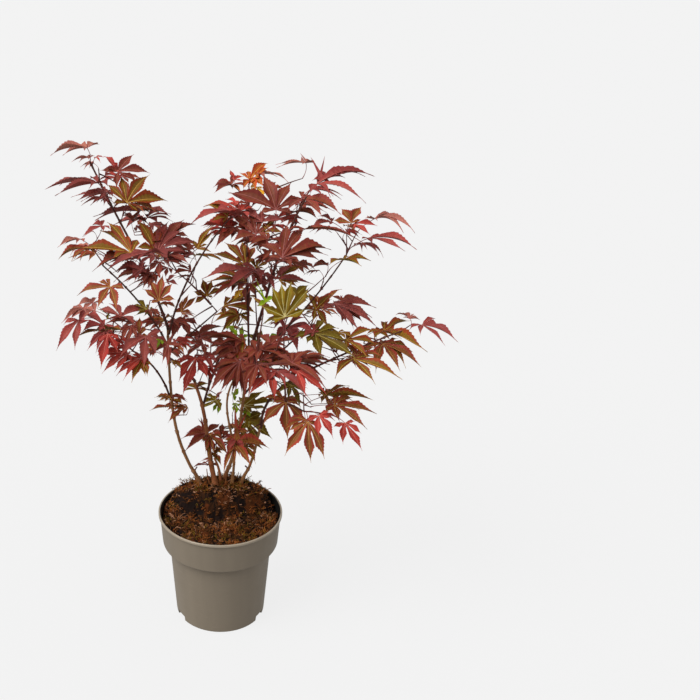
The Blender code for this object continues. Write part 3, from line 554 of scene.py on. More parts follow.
class MapleStage(bpy.types.PropertyGroup):
    """Floor, light and camera."""

    floor_size: length_property("Floor size", "Side of the floor", 30.0)
    floor_glow: strength_property("Floor glow", "Light that the floor gives off of its own", 0.815)
    floor_bounce: strength_property("Floor bounce", "Light from the floor that reaches the plant", 0.35)
    floor_white: share_property("Floor white", "Share of the light that the floor throws back", 0.06)
    sky: strength_property("Sky", "Strength of the even light", 0.68)
    backdrop: strength_property("Backdrop", "Brightness of the air behind the plant", 0.90)
    key: strength_property("Key", "Strength of the soft main light", 2.55)
    fill: strength_property("Fill", "Strength of the soft second light", 0.15)
    camera_place: FloatVectorProperty(
        name="Camera place", description="Where the camera stands", default=(0.0, -1.423, 1.123),
        subtype="TRANSLATION", unit="LENGTH",
    )
    lens: strength_property("Lens", "Focal length in millimetres", 56.571)
    shift: strength_property("Shift", "Sideways shift of the lens", 0.1852, -2.0)


# ---------------------------------------------------------------- meshes


class Gather:
    """Points and faces of many small shapes, to be joined into one piece."""

    def __init__(self):
        self.points = []
        self.faces = []
        self.slots = []
        self.count = 0

    def add_points(self, points):
        """Adds points that no face uses yet."""
        self.points.append(np.asarray(points, float).reshape(-1, 3))
        self.count += len(self.points[-1])

    def add_faces(self, faces, slot):
        """Adds faces between points that are in already, as rows of three or four of their numbers."""
        self.faces.append(np.asarray(faces, int))
        self.slots.append(slot)

    def add(self, points, faces, slot=0):
        """Adds a shape whose faces count from the first of its own points."""
        start = self.count
        self.add_points(points)
        self.add_faces(np.asarray(faces, int) + start, slot)

    def mesh(self, name):
        """All that was added, as one mesh."""
        points = np.concatenate(self.points)
        loops = np.concatenate([faces.ravel() for faces in self.faces])
        totals = np.concatenate([np.full(len(faces), faces.shape[1]) for faces in self.faces])
        slots = np.concatenate([np.full(len(f), slot) for f, slot in zip(self.faces, self.slots)])
        made = bpy.data.meshes.new(name)
        made.vertices.add(len(points))
        made.vertices.foreach_set("co", points.astype(np.float32).ravel())
        made.loops.add(len(loops))
        made.loops.foreach_set("vertex_index", loops.astype(np.int32))
        made.polygons.add(len(totals))
        starts = np.concatenate(([0], np.cumsum(totals)[:-1]))
        made.polygons.foreach_set("loop_start", starts.astype(np.int32))
        made.polygons.foreach_set("material_index", slots.astype(np.int32))
        made.update(calc_edges=True)
        made.validate()
        made.shade_smooth()
        return made


def linked(name, data):
    """A new object of the data, linked to the scene."""
    made = bpy.data.objects.new(name, data)
    bpy.context.scene.collection.objects.link(made)
    return made


def add_piece(name, made, materials, replaced=()):
    """Makes an object of a mesh or of gathered shapes, and hides the imported nodes that it stands for."""
    mesh = made.mesh(name) if isinstance(made, Gather) else made
    piece = linked(name, mesh)
    for material in materials:
        mesh.materials.append(material)
    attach(piece, "root")
    if replaced:
        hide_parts(*replaced)


def unit(vector):
    """The vector with a length of one."""
    return vector / max(np.linalg.norm(vector), 1e-12)


def smooth_path(points, step):
    """Points about a step apart on a smooth curve through the given ones."""
    points = np.asarray(points, float)
    padded = np.vstack([2 * points[0] - points[1], points, 2 * points[-1] - points[-2]])
    made = []
    for a, b, c, d in zip(padded, padded[1:], padded[2:], padded[3:]):
        count = max(2, round(np.linalg.norm(c - b) / step))
        t = np.arange(count)[:, None] / count
        made.append(0.5 * (2 * b + (c - a) * t + (2 * a - 5 * b + 4 * c - d) * t ** 2
                           + (3 * b - a - 3 * c + d) * t ** 3))
    made.append(points[-1:])
    return np.vstack(made)


def arch(start, end, lift, count):
    """Points on a curve from start to end whose middle is moved by lift."""
    t = np.linspace(0, 1, count)[:, None]
    knee = (start + end) / 2 + lift
    return start * (1 - t) ** 2 + knee * 2 * t * (1 - t) + end * t ** 2


def path_frames(path):
    """Two sideways directions at each point of a path, with no sudden turn between them."""
    along = np.gradient(path, axis=0)
    along /= np.maximum(np.linalg.norm(along, axis=1), 1e-12)[:, None]
    side = unit(np.cross(along[0], UP if abs(along[0][2]) < 0.9 else ACROSS))
    sides = []
    for direction in along:
        side = unit(side - direction * (side @ direction))
        sides.append(side)
    sides = np.array(sides)
    return along, sides, np.cross(along, sides)


def ring_quads(rings, sides):
    """The faces between rings of points, each ring with the same number of sides."""
    row = np.arange(rings - 1)[:, None] * sides
    here = np.arange(sides)[None]
    after = (here + 1) % sides
    return np.stack([row + here, row + after, row + sides + after, row + sides + here], -1).reshape(-1, 4)


def add_tube(gather, path, radii, sides=6, slot=0, ripple=None):
    """A tube along the path, with closed ends. ripple gives a share of the radius for each ring and side."""
    along, right, over = path_frames(path)
    turn = np.linspace(0, 2 * math.pi, sides, endpoint=False)
    reach = np.broadcast_to(np.asarray(radii, float)[:, None], (len(path), sides))
    if ripple is not None:
        reach = reach * ripple
    ring = (right[:, None] * np.cos(turn)[None, :, None] + over[:, None] * np.sin(turn)[None, :, None])
    points = (path[:, None] + ring * reach[..., None]).reshape(-1, 3)
    last = len(points)
    first_ring = np.arange(sides)
    end_ring = first_ring + (len(path) - 1) * sides
    points = np.vstack([points, path[0], path[-1] + along[-1] * radii[-1] * 0.5])
    caps = np.vstack([
        np.stack([np.full(sides, last), np.roll(first_ring, -1), first_ring], -1),
        np.stack([np.full(sides, last + 1), end_ring, np.roll(end_ring, -1)], -1),
    ])
    start = gather.count
    gather.add(points, ring_quads(len(path), sides), slot)
    gather.add_faces(caps + start, slot)


# ---------------------------------------------------------------- wood


def ring_numbers(points):
    """For each point of a limb the number of its ring, which is a chain of points near each other."""
    ring = np.full(len(points), -1)
    for first in range(len(points)):
        if ring[first] >= 0:
            continue
        number = ring.max() + 1
        ring[first] = number
        waiting = [first]
        while waiting:
            near = np.linalg.norm(points - points[waiting.pop()], axis=1) < RING_REACH
            fresh = np.flatnonzero(near & (ring < 0))
            ring[fresh] = number
            waiting.extend(fresh)
    return ring


def limb_centreline(node):
    """The middle points of a limb and the radius at each, read off its rings in the frame, foot first."""
    points = np.unique(np.round([vertex.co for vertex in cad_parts[node].data.vertices], 5), axis=0)
    ring = ring_numbers(points)
    foot_top = points[:, 2].min() + FOOT_SLICE
    middles, radii = [], []
    for number in range(ring.max() + 1):
        members = points[ring == number]
        if node in STEMS and members[:, 2].min() < foot_top:
            members = members[members[:, 2] < foot_top]
        middle = members.mean(axis=0)
        middles.append(middle)
        radii.append(np.linalg.norm(members - middle, axis=1).mean())
    order = np.argsort([middle[2] for middle in middles])
    middles = np.array(middles)[order]
    radii = np.array(radii)[order]
    radii[0] = radii[1]  # the foot's flare is added with the bark
    return middles, radii


def joined_to_parent(name, middles, paths):
    """The limb's middle points with its foot moved on to the limb that bears it."""
    wood = np.vstack([path for other, path in paths.items() if other != name])
    nearest = wood[np.argmin(np.linalg.norm(wood - middles[0], axis=1))]
    return np.vstack([nearest, middles]) if np.linalg.norm(nearest - middles[0]) > MM else middles


def limb_routes():
    """For each limb a fine path along its middle, with the radius at each point."""
    read = {name: limb_centreline(name) for name in STEMS + BOUGHS}
    coarse = {name: smooth_path(middles, COARSE_STEP) for name, (middles, _) in read.items()}
    step = bpy.context.scene.maple_wood.bark_step
    routes = {}
    for name, (middles, radii) in read.items():
        if name in BOUGHS:
            joined = joined_to_parent(name, middles, coarse)
            radii = np.concatenate([np.full(len(joined) - len(middles), radii[0]), radii])
            middles = joined
        path = smooth_path(middles, step)
        at = np.linalg.norm(path[:, None] - middles[None], axis=2).argmin(axis=0)
        routes[name] = (path, np.interp(np.arange(len(path)), at, radii))
    return routes


RING_REACH = 0.011  # points of one ring in the frame are nearer to each other than this
COARSE_STEP = 0.004  # distance between the points of a limb that another one may start from
FOOT_SLICE = 0.001  # a stem's lowest ring is what lies this close to its foot
BARK_ROUGHNESS = 0.09  # relief of the bark against the radius
BARK_GRAIN = (1.6, 130)  # how fast the relief changes round a limb, and along it per metre
NODE_SWELL = (0.34, 0.0022)  # height of a swollen node against the radius, and its reach
NODE_WAIST = (0.10, 0.0012)  # depth of the waist past the node, and its reach
WAIST_AT = 0.0046  # how far past the node the waist is
FIRST_NODE = (0.020, 0.034)  # least and most distance from a limb's foot to its first node
NODE_GAP = (0.024, 0.044)  # and from one node to the next
BARE_TIP = 0.008  # the end of a limb that has no node
STEM_FLARE = (0.75, 0.006)  # how much wider a stem is at its foot, and how soon that fades
BOUGH_FLARE = (0.35, 0.004)
STUB_TOP = 0.16  # pruned stubs are found up to here along a stem
STUB_SHARE = 0.22  # share of the places below that have a stub
BUD_SHARE = 0.75  # share of the other places that have a bud
BUD_PROFILE = np.array([0.42, 0.55, 0.56, 0.44, 0.26, 0.06])  # radius of a bud against its size


def lengths_along(path):
    """How far along a path each of its points is."""
    return np.concatenate(([0], np.cumsum(np.linalg.norm(np.diff(path, axis=0), axis=1))))


def bark_ripple(path, sides, seed, nodes):
    """The shares of the radius that give bark its ridges, rings and swollen nodes."""
    length = lengths_along(path)
    turn = np.linspace(0, 2 * math.pi, sides, endpoint=False)
    round_about, lengthwise = BARK_GRAIN
    rough = np.array([[
        noise.noise(Vector((math.cos(angle) * round_about, math.sin(angle) * round_about,
                            along * lengthwise + seed * 7.7)))
        for angle in turn] for along in length])
    swelling = np.zeros(len(path))
    for node in nodes:
        swelling += NODE_SWELL[0] * np.exp(-((length - node) / NODE_SWELL[1]) ** 2)
        swelling -= NODE_WAIST[0] * np.exp(-((length - node - WAIST_AT) / NODE_WAIST[1]) ** 2)
    return 1 + BARK_ROUGHNESS * rough + swelling[:, None]


def add_bud(gather, place, outward, along, size, slot):
    """A small pointed bud that leans against its twig."""
    tip = place + outward * size * 0.9 + along * size * 1.9
    path = arch(place, tip, outward * size * 0.45, len(BUD_PROFILE))
    add_tube(gather, path, size * BUD_PROFILE, 7, slot)


def add_stub(gather, rng, foot, outward, along):
    """The short stub that a pruned shoot leaves."""
    reach = rng.uniform(0.003, 0.007)
    path = arch(foot, foot + outward * reach + along * reach * 0.7, along * 0.0006, 5)
    add_tube(gather, path, np.full(len(path), rng.uniform(0.0008, 0.0012)), 7, 1)


def build_limb(name, path, radii, seed):
    """One stem or bough: a tube with relief, a flare at its foot, paired buds, and on stems pruned stubs."""
    wood = bpy.context.scene.maple_wood
    rng = random.Random(seed)
    length = lengths_along(path)
    stem = name in STEMS
    nodes = []
    place = rng.uniform(*FIRST_NODE)
    while place < length[-1] - BARE_TIP:
        nodes.append(place)
        place += rng.uniform(*NODE_GAP)
    flare, fade = STEM_FLARE if stem else BOUGH_FLARE
    radii = radii * (wood.stem_girth if stem else 1.0) * (1 + flare * np.exp(-length / fade))
    gather = Gather()
    add_tube(gather, path, radii, wood.sides, 0, bark_ripple(path, wood.sides, seed, nodes))
    along, right, over = path_frames(path)
    for index, node in enumerate(nodes):
        at = int(np.searchsorted(length, node))
        side = right[at] if index % 2 else over[at]
        for sign in (-1, 1):
            outward = side * sign
            foot = path[at] + outward * radii[at] * 0.8
            if stem and node < STUB_TOP and rng.random() < STUB_SHARE:
                add_stub(gather, rng, foot, outward, along[at])
            elif rng.random() < BUD_SHARE:
                add_bud(gather, foot, outward, along[at], rng.uniform(0.0011, 0.0017), 1)
    return gather


# ---------------------------------------------------------------- leaves


class Leaf(NamedTuple):
    """One leaf: where its stalk meets the blade, which way the blade points and faces, and its size."""

    kind: str
    hub: np.ndarray
    forward: np.ndarray
    normal: np.ndarray
    length: float
    breadth: float          # half-width of a lobe against its length
    seed: int
    mass: str               # the mass of foliage that it belongs to
    lobes: tuple = ()       # turn, length and half-width of each lobe; none for the usual spread


def blade_pose(heading, facing, away=1.0):
    """The direction of the middle lobe and the blade's normal.

    heading is the middle lobe's direction as seen from the front. facing is how far the blade turns from
    leaning away (0) past level (0.27) to facing the viewer (1). away is -1 for a blade that faces the far
    side.
    """
    outward = np.array((0.0, NEARER[1] * away, NEARER[2]))
    turned = 1.3 * facing - 0.35
    normal = unit(UP * (1 - turned) + outward * turned)
    wanted = math.cos(heading) * ACROSS + math.sin(heading) * VIEW_UP
    return unit(wanted - normal * (wanted @ normal)), normal


def lobe_breadth(breadth, middle, length):
    """Half-width of a lobe, from the lengths of the middle lobe and of its own."""
    return breadth * (0.62 * middle + 0.38 * length)


def lobe_in_blade(seen, scale, normal, breadth):
    """The direction, length and half-width of a lobe that lies in the blade and is seen to reach this far."""
    across = (seen[0] * ACROSS + seen[1] * VIEW_UP) * scale
    reach = np.linalg.norm(across)
    depth = -(across @ normal) / max(NEARER @ normal, 0.15)
    depth = max(-DEEPEST * reach, min(DEEPEST * reach, depth))
    lobe = across + NEARER * depth
    lobe = unit(lobe - normal * (lobe @ normal))
    slant = abs(normal @ NEARER) / max(math.sqrt(1 - (lobe @ NEARER) ** 2), 0.3)
    return lobe, TAIL * math.hypot(reach, depth), breadth * scale / min(max(slant, 0.55), 1.0)


TAIL = 1.06  # length of a lobe against the length that it is seen at
DEEPEST = 0.9  # the most that a lobe runs along the view, against how far it runs across
LOBE_TURNS = (0, 1, -1, 2, -2, 3, -3)  # in steps of the spread
LOBE_LENGTHS = (1.0, 0.90, 0.90, 0.64, 0.64, 0.30, 0.30)
BACK_LOBE_EXTRA = math.radians(8)  # the small basal lobes turn a little further back
LEAST_GAP = math.radians(11)  # half the angle that a lobe has to itself at its foot
LOBE_FOOT = 1.75  # how fast a lobe widens from its foot
LOBE_TIP = 2.75  # how fast it narrows towards its tip
LOBE_RISE = 0.30  # how far a leading leaf's lobe arches up first, of its bend
UPWARD_RISE = 0.17  # and how much further one that points up does
WEB_STEPS = 3
ROW_SHARES = (-1.0, -0.52, 0.0, 0.52, 1.0)  # places of the points across a lobe
ROW_ZONES = (1, 0, 0, 1)  # zone of the face between each two: 1 towards the edges
SEVEN_LOBED = 0.040  # a longer leaf than this may have seven lobes
END_GAP = 1.25  # what an outermost lobe has beyond it, of the spread
ROW_CROWDING = 0.93  # how much closer the rows are towards the tip
FLAT_RISE = 0.05  # the same for a lobe of any other leaf
SICKLE = 0.20  # how far a side lobe curves forward, against its own turn
SWING = 0.14  # how far a lobe may curve aside, in radians
ROLL = 0.45  # how far a lobe may twist, in radians
TOOTH_LEAN = 0.35  # how far a tooth leans towards the tip, of its own length
RIPPLE = 0.012  # height of the waves of an edge against the leaf's length


def lobe_width(share):
    """Half-width of a lobe at a share of its length, as a share of its widest: slim foot, long thin tip."""
    widest_at = LOBE_FOOT / (LOBE_FOOT + LOBE_TIP)
    width = (share / widest_at) ** LOBE_FOOT * ((1 - share) / (1 - widest_at)) ** LOBE_TIP
    return np.maximum(width, 0.10 * (1 - share) / (1 - widest_at))


def lobe_shares(web_share, teeth):
    """How far out each row of a lobe's points is: the web's rows, two rows for each tooth, then the tip."""
    stations = 2 * teeth + 1
    outer = web_share + (1 - web_share) * (np.arange(1, stations) / stations) ** ROW_CROWDING
    return np.concatenate([web_share * np.arange(1, WEB_STEPS + 1) / WEB_STEPS, outer, [1.0]])


def lobe_course(leaf, turn, free, droop, rng):
    """Which way a lobe runs at each row, with the directions across it and out of its blade there."""
    side_axis = np.cross(leaf.forward, leaf.normal)
    ahead = math.cos(turn) * leaf.forward + math.sin(turn) * side_axis
    beside = math.cos(turn) * side_axis - math.sin(turn) * leaf.forward
    down = -UP * 0.65 - leaf.normal * 0.35
    down = down - ahead * (down @ ahead)
    rise = FLAT_RISE
    if leaf.lobes:
        rise = LOBE_RISE + UPWARD_RISE * min(max(2 * (ahead @ VIEW_UP), 0.0), 1.0)
    bend = droop * min(np.linalg.norm(down) * 1.15, 1.0) * (free ** 1.15 - rise)
    down = unit(down)
    sickle = -math.copysign(min(abs(turn), 1.2), turn) * SICKLE if turn else 0.0
    swing = (sickle + rng.uniform(-SWING, SWING)) * free
    course = np.cos(swing)[:, None] * ahead + np.sin(swing)[:, None] * beside
    course = np.cos(bend)[:, None] * course + np.sin(bend)[:, None] * down
    lateral = beside - course * (course @ beside)[:, None]
    lateral /= np.linalg.norm(lateral, axis=1)[:, None]
    over = np.cross(lateral, course)
    roll = rng.uniform(-ROLL, ROLL) * free
    return (course, np.cos(roll)[:, None] * lateral + np.sin(roll)[:, None] * over,
            np.cos(roll)[:, None] * over - np.sin(roll)[:, None] * lateral)


def lobe_shape(leaf, turn, length, widest, web, gap, rng, droop):
    """The rows of points of one lobe from hub to tip, then its directions, middle line and shares."""
    shape = bpy.context.scene.maple_shape
    web_share = web / length
    shares = lobe_shares(web_share, shape.teeth)
    free = np.clip((shares - web_share) / (1 - web_share), 0, 1)
    joined = shares <= web_share + 1e-9
    course, lateral, over = lobe_course(leaf, turn, free, droop, rng)
    steps = np.diff(np.concatenate(([0], shares))) * length
    middle = leaf.hub + np.cumsum(course * steps[:, None], axis=0)

    profile = lobe_width(shares) * widest * shape.fullness
    tooth = np.ones(len(shares))
    tooth[WEB_STEPS:-1:2] -= shape.tooth_depth
    lean = np.zeros(len(shares))
    lean[WEB_STEPS + 1:-1:2] = TOOTH_LEAN * length / (2 * shape.teeth + 1)
    ripple = np.sin(free * math.pi * rng.uniform(2.0, 3.2) + rng.uniform(0, 6)) * RIPPLE * leaf.length
    fold = math.tan(shape.fold * rng.uniform(0.7, 1.5))
    pleat = np.sin(2 * math.pi * free * shape.teeth) * ~joined
    rows = []
    for share in ROW_SHARES:
        edge = abs(share) == 1
        sector = shares * length * math.tan(gap[0] if share < 0 else gap[1])
        outline = profile * tooth if edge else profile
        width = np.where(joined, sector, np.minimum(sector * 0.80, outline))
        height = abs(share) * width * fold
        if not edge and share:
            height = height + shape.pleats * width * pleat
        height = height + ripple * abs(share) * free
        point = middle + lateral * (share * width)[:, None] + over * height[:, None]
        rows.append(point + course * lean[:, None] if edge else point)
    return np.stack(rows, axis=1), over, lateral, middle, shares


@cache
def lobe_faces(rows):
    """Faces of a lobe whose points are the hub, rows of five, and the tip.

    They come as (zone, faces): 0 beside the midrib and 1 towards the edges, quads before triangles.
    """
    across = len(ROW_SHARES)
    quads, triangles = ([], []), ([], [])
    for row in range(rows - 1):
        for column, zone in enumerate(ROW_ZONES):
            a = 1 + row * across + column
            quads[zone].append((a, a + 1, a + across + 1, a + across))
    for column, zone in enumerate(ROW_ZONES):
        last = 1 + (rows - 1) * across + column
        triangles[zone].extend([(0, 2 + column, 1 + column), (last, last + 1, 1 + rows * across)])
    return [(zone, np.array(faces)) for zone in (0, 1) for faces in (quads[zone], triangles[zone])]


def usual_lobes(leaf, spread, rng):
    """Turns, lengths and half-widths of the lobes of a leaf that none are given for."""
    count = 7 if leaf.length > SEVEN_LOBED and rng.random() < 0.5 else 5
    turns = [step * spread + math.copysign(BACK_LOBE_EXTRA, step) * (abs(step) == 3)
             for step in LOBE_TURNS[:count]]
    lengths = [leaf.length * share * rng.uniform(0.92, 1.06) for share in LOBE_LENGTHS[:count]]
    return turns, lengths, [lobe_breadth(leaf.breadth, leaf.length, length) for length in lengths]


def add_leaf(gather, leaf):
    """Adds the blade and the ribs of one leaf: slot 0 beside the midribs, 1 towards the edges, 2 the ribs."""
    shape = bpy.context.scene.maple_shape
    kind = LEAF_KINDS[leaf.kind]
    rng = random.Random(leaf.seed)
    spread = shape.spread * rng.uniform(0.85, 1.06)
    web = shape.web * kind.web * leaf.length * rng.uniform(0.9, 1.1)
    turns, lengths, widths = zip(*leaf.lobes) if leaf.lobes else usual_lobes(leaf, spread, rng)
    order = sorted(range(len(turns)), key=lambda index: turns[index])
    droop = math.radians(kind.droop) * rng.uniform(0.6, 1.35)
    in_turn = [turns[index] for index in order]
    before = [in_turn[0] - END_GAP * spread] + in_turn[:-1]
    after = in_turn[1:] + [in_turn[-1] + END_GAP * spread]
    for index, low, high in zip(order, before, after):
        turn, length, widest = turns[index], lengths[index], widths[index]
        gap = (max((turn - low) / 2, LEAST_GAP), max((high - turn) / 2, LEAST_GAP))
        bend = droop * rng.uniform(0.7, 1.3)
        rows, over, lateral, middle, shares = lobe_shape(leaf, turn, length, widest, web, gap, rng, bend)
        start = gather.count
        gather.add_points(np.vstack([leaf.hub, rows[:-1].reshape(-1, 3), rows[-1, 2]]))
        for zone, faces in lobe_faces(len(rows) - 1):
            gather.add_faces(faces + start, zone)
        add_rib(gather, leaf.hub, middle, over, lateral, shares,
                shape.rib_width * (RIB_LEAST + length / RIB_GROWTH))


RIB_LEAST = 0.35  # width of a short lobe's rib against the full width
RIB_GROWTH = 0.090  # and the length of lobe that adds one full width
RIB_END = 0.97  # how far out a rib runs
RIB_TAPER = 0.75  # how much thinner a rib is at its tip
RIB_HEIGHT = 0.12 * MM  # how far the thinnest rib stands above its blade


def add_rib(gather, hub, middle, over, lateral, shares, width):
    """A midrib: a low ridge that stands a little above and below the blade, from the hub to near the tip."""
    keep = np.flatnonzero(shares < RIB_END)[::2]
    line = np.vstack([hub, middle[keep]])
    top = np.vstack([over[:1], over[keep]])
    side = np.vstack([lateral[:1], lateral[keep]])
    thin = np.concatenate(([1.0], 1 - RIB_TAPER * shares[keep]))[:, None] * width / 2
    shoulder = top * (thin * 0.70 + 0.05 * MM)
    rise = RIB_HEIGHT + thin * 0.9
    points = np.stack([line - side * thin + shoulder, line + top * rise, line + side * thin + shoulder,
                       line - top * rise * 0.5], axis=1)
    faces = ring_quads(len(line), 4)[:, [0, 3, 2, 1]]  # these rings run the other way round
    gather.add(points.reshape(-1, 3), faces, 2)


# ---------------------------------------------------------------- growth


def bearing_wood(path):
    """The points of a path, each followed by the direction in which the wood grows there."""
    return np.hstack([path, path_frames(path)[0]])


class Growth:
    """Leaves, twigs and stalks, grown from the limbs outward."""

    def __init__(self):
        self.routes = limb_routes()
        self.wood = np.vstack([bearing_wood(path)[len(path) // 5:] for path, _ in self.routes.values()])
        self.leaves = []
        self.twigs = []
        self.stalks = []
        self.rng = random.Random(GROWTH_SEED)

    def nearest_wood(self, place):
        """Where a shoot to the place starts: near it, not above it, and at a sharp angle with its bearer."""
        way = place - self.wood[:, :3]
        distance = np.linalg.norm(way, axis=1)
        onward = np.sum(way * self.wood[:, 3:], axis=1)
        above = np.maximum(self.wood[:, 2] - place[2], 0)
        cost = DISTANCE_COST * distance - onward + DROP_COST * above
        return self.wood[np.argmin(cost), :3]

    def bear(self, leaf, wood=None):
        """Grows the stalk of a leaf, and a twig under it where the wood is further than a stalk reaches."""
        reach = min(max(leaf.length * self.rng.uniform(0.42, 0.6), STALK_LEAST), STALK_MOST)
        wood = self.nearest_wood(leaf.hub) if wood is None else wood
        gap = np.linalg.norm(wood - leaf.hub)
        back = unit(leaf.forward * STALK_BACK + leaf.normal * STALK_UNDER + unit(wood - leaf.hub) * STALK_IN)
        foot = leaf.hub + back * min(reach, gap)
        if gap > reach * STALK_STRETCH:
            self.grow_twig(wood, foot)
        else:
            foot = wood
        droop = -leaf.forward * 0.22 - leaf.normal * 0.10 + UP * 0.10
        span = np.linalg.norm(foot - leaf.hub)
        self.stalks.append((arch(foot, leaf.hub, droop * span, len(STALK_PROFILE)), leaf.length))
        self.leaves.append(leaf)

    def grow_twig(self, start, end):
        """A twig from the wood to where a stalk leaves it, arching upward, with buds at its end."""
        span = np.linalg.norm(end - start)
        sideways = np.array([self.rng.uniform(-1, 1) for _ in range(3)])
        count = max(4, round(span / TWIG_STEP))
        path = arch(start, end, (UP * 0.04 + sideways * 0.03) * span, count)
        self.twigs.append(path)
        self.wood = np.vstack([self.wood, bearing_wood(path)[count // 3:]])

    def plant_sprays(self):
        """The leading leaves: one from the end of each limb, then the others of each mass, nearest first."""
        waiting = [self.leading_leaf(lead, mass) for mass in MASSES
                   for lead in LEADS[mass.removeprefix("foliage_")]]
        for path, _ in self.routes.values():
            reach = [np.linalg.norm(leaf.hub - path[-1]) for leaf in waiting]
            nearest = int(np.argmin(reach))
            if reach[nearest] < LIMB_END_REACH:
                self.bear(waiting.pop(nearest), path[-1])
            else:
                self.end_in_leaves(path)
        for mass in MASSES:
            spray = [leaf for leaf in waiting if leaf.mass == mass]
            spray.sort(key=lambda leaf: np.linalg.norm(self.nearest_wood(leaf.hub) - leaf.hub))
            for leaf in spray:
                low = leaf.hub - UP * SHOOT_RISE
                self.bear(leaf, self.nearest_wood(low) if mass in SHOOT_MASSES else None)

    def end_in_leaves(self, path):
        """A few small leaves at the end of a limb that has no leading leaf near it."""
        for kind, heading in zip(END_KINDS, END_HEADINGS):
            forward, normal = blade_pose(heading, self.rng.uniform(0.2, 0.4), -1.0)
            length = self.rng.uniform(*END_LENGTHS)
            onward = unit(path[-1] - path[-2]) * END_GAP_ON
            hub = path[-1] + onward + forward * self.rng.uniform(END_GAP_ON / 2, END_GAP_ON)
            self.bear(Leaf(kind, hub, forward, normal, length, END_BREADTH, self.rng.randrange(SEEDS),
                           MASSES[0]), path[-1])

    def leading_leaf(self, lead, mass):
        """The leaf that fits a lead, at its mass's distance from the camera."""
        view = bpy.context.scene.maple_stage
        low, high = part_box(mass)
        camera = np.array(view.camera_place)
        depth = (camera - np.array((low + high) / 2)) @ NEARER - lead.nearer * MM
        focal = view.lens / SENSOR * VIEW_SIZE
        right = (lead.hub[0] - (0.5 - view.shift) * VIEW_SIZE) / focal
        upward = (VIEW_SIZE / 2 - lead.hub[1]) / focal
        hub = camera + depth * (right * ACROSS + upward * VIEW_UP - NEARER)
        seen = [(x - lead.hub[0], lead.hub[1] - y) for x, y in lead.tips]
        _, normal = blade_pose(math.atan2(seen[0][1], seen[0][0]), lead.facing)
        normal = unit(normal + np.array([self.rng.uniform(-TILT, TILT) for _ in range(3)]))
        fitted = []
        for tip in seen:
            breadth = lobe_breadth(lead.breadth, math.hypot(*seen[0]), math.hypot(*tip))
            fitted.append(lobe_in_blade(tip, depth / focal, normal, breadth))
        ahead, length, widest = fitted[0]
        beside = np.cross(ahead, normal)
        lobes = [(0.0, length, widest)]
        for lobe, reach, width in fitted[1:]:
            lobes.append((math.atan2(lobe @ beside, lobe @ ahead), reach, width))
        self.add_basal_lobes(lobes)
        return Leaf(lead.kind, hub, ahead, normal, length, lead.breadth, self.rng.randrange(SEEDS), mass,
                    tuple(lobes))

    def add_basal_lobes(self, lobes):
        """A short lobe beyond the outermost one on each side, where the leaf has room for it."""
        if len(lobes) > MOST_LOBES:
            return
        spread = bpy.context.scene.maple_shape.spread
        _, length, widest = lobes[0]
        turns = [turn for turn, _, _ in lobes]
        for outermost, side in ((max(turns), 1), (min(turns), -1)):
            turn = outermost + side * spread * self.rng.uniform(1.0, 1.3)
            if abs(turn) < FURTHEST_TURN:
                share = self.rng.uniform(*BASAL_SHARES)
                lobes.append((turn, length * share, widest * (0.35 + share)))

    def plant_far_side(self):
        """Leaves on the far side of the crown, each straight behind a leading leaf, so gaps stay open."""
        density = bpy.context.scene.maple_shape.back_leaves
        facing_plane = np.stack([ACROSS, VIEW_UP], axis=1)
        hubs = np.array([leaf.hub for leaf in self.leaves])
        for lead in list(self.leaves):
            apart = np.linalg.norm((hubs - lead.hub) @ facing_plane, axis=1)
            beside = np.count_nonzero(apart < NEIGHBOUR_REACH)
            if lead.length < LEAST_FRONTED or beside < NEIGHBOURS or self.rng.random() > density:
                continue
            depth = self.rng.uniform(*FAR_DEPTHS)
            hub = lead.hub - NEARER * depth + ACROSS * self.rng.uniform(-0.006, 0.006)
            heading = math.atan2(lead.forward @ VIEW_UP, lead.forward @ ACROSS) + self.rng.uniform(-0.4, 0.4)
            forward, normal = blade_pose(heading, self.rng.uniform(0.15, 0.55), -1.0)
            length = min(lead.length, FAR_LONGEST) * self.rng.uniform(0.72, 0.9)
            leaf = Leaf(SHADED_FAR_KINDS.get(lead.kind, lead.kind), hub, forward, normal, length, lead.breadth,
                        self.rng.randrange(SEEDS), lead.mass)
            if inside_box(hub) and inside_box(hub + forward * length):
                self.bear(leaf)


def inside_box(point):
    """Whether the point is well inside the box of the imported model."""
    low, high = CAD_BOX
    return all(least + BOX_MARGIN < at < most - BOX_MARGIN for least, at, most in zip(low, point, high))


GROWTH_SEED = 20
SEEDS = 10 ** 6  # how many seeds a leaf can have
DISTANCE_COST = 1.7  # what a shoot's length costs against the way it gains
DROP_COST = 0.5  # what it costs to start above the leaf
STALK_LEAST = 0.012  # least and most length of a leaf's stalk
STALK_MOST = 0.034
STALK_STRETCH = 1.25  # a gap longer than this many stalks has a twig
STALK_BACK = -0.55  # how much a stalk leaves along the blade, out of it, and towards the wood
STALK_UNDER = -0.30
STALK_IN = 0.9
STALK_PROFILE = np.array([1.7, 1.25, 1.0, 0.92, 0.9, 0.9, 0.95, 1.15])  # girth from foot to blade
TWIG_STEP = 0.004  # distance between the points of a twig
TILT = 0.10  # how far a leading blade may tilt any way
MOST_LOBES = 5  # a leaf with more than this has its basal lobes already
FURTHEST_TURN = 2.5  # how far back a basal lobe may turn, in radians
BASAL_SHARES = (0.30, 0.46)  # least and most length against the middle lobe
SHOOT_MASSES = ("foliage_crown_under", "foliage_lime", "foliage_crown_olive")  # borne by upright shoots
SHOOT_RISE = 0.105  # how far below its leaf such a shoot starts
END_KINDS = ("burgundy", "bronze", "wine")  # the leaves at the end of a limb that has no lead near
END_HEADINGS = (0.3, 2.0, 3.6)  # as seen from the front, anticlockwise from the right
END_LENGTHS = (0.030, 0.040)
END_BREADTH = 0.14  # half-width of a lobe of such a leaf, against its length
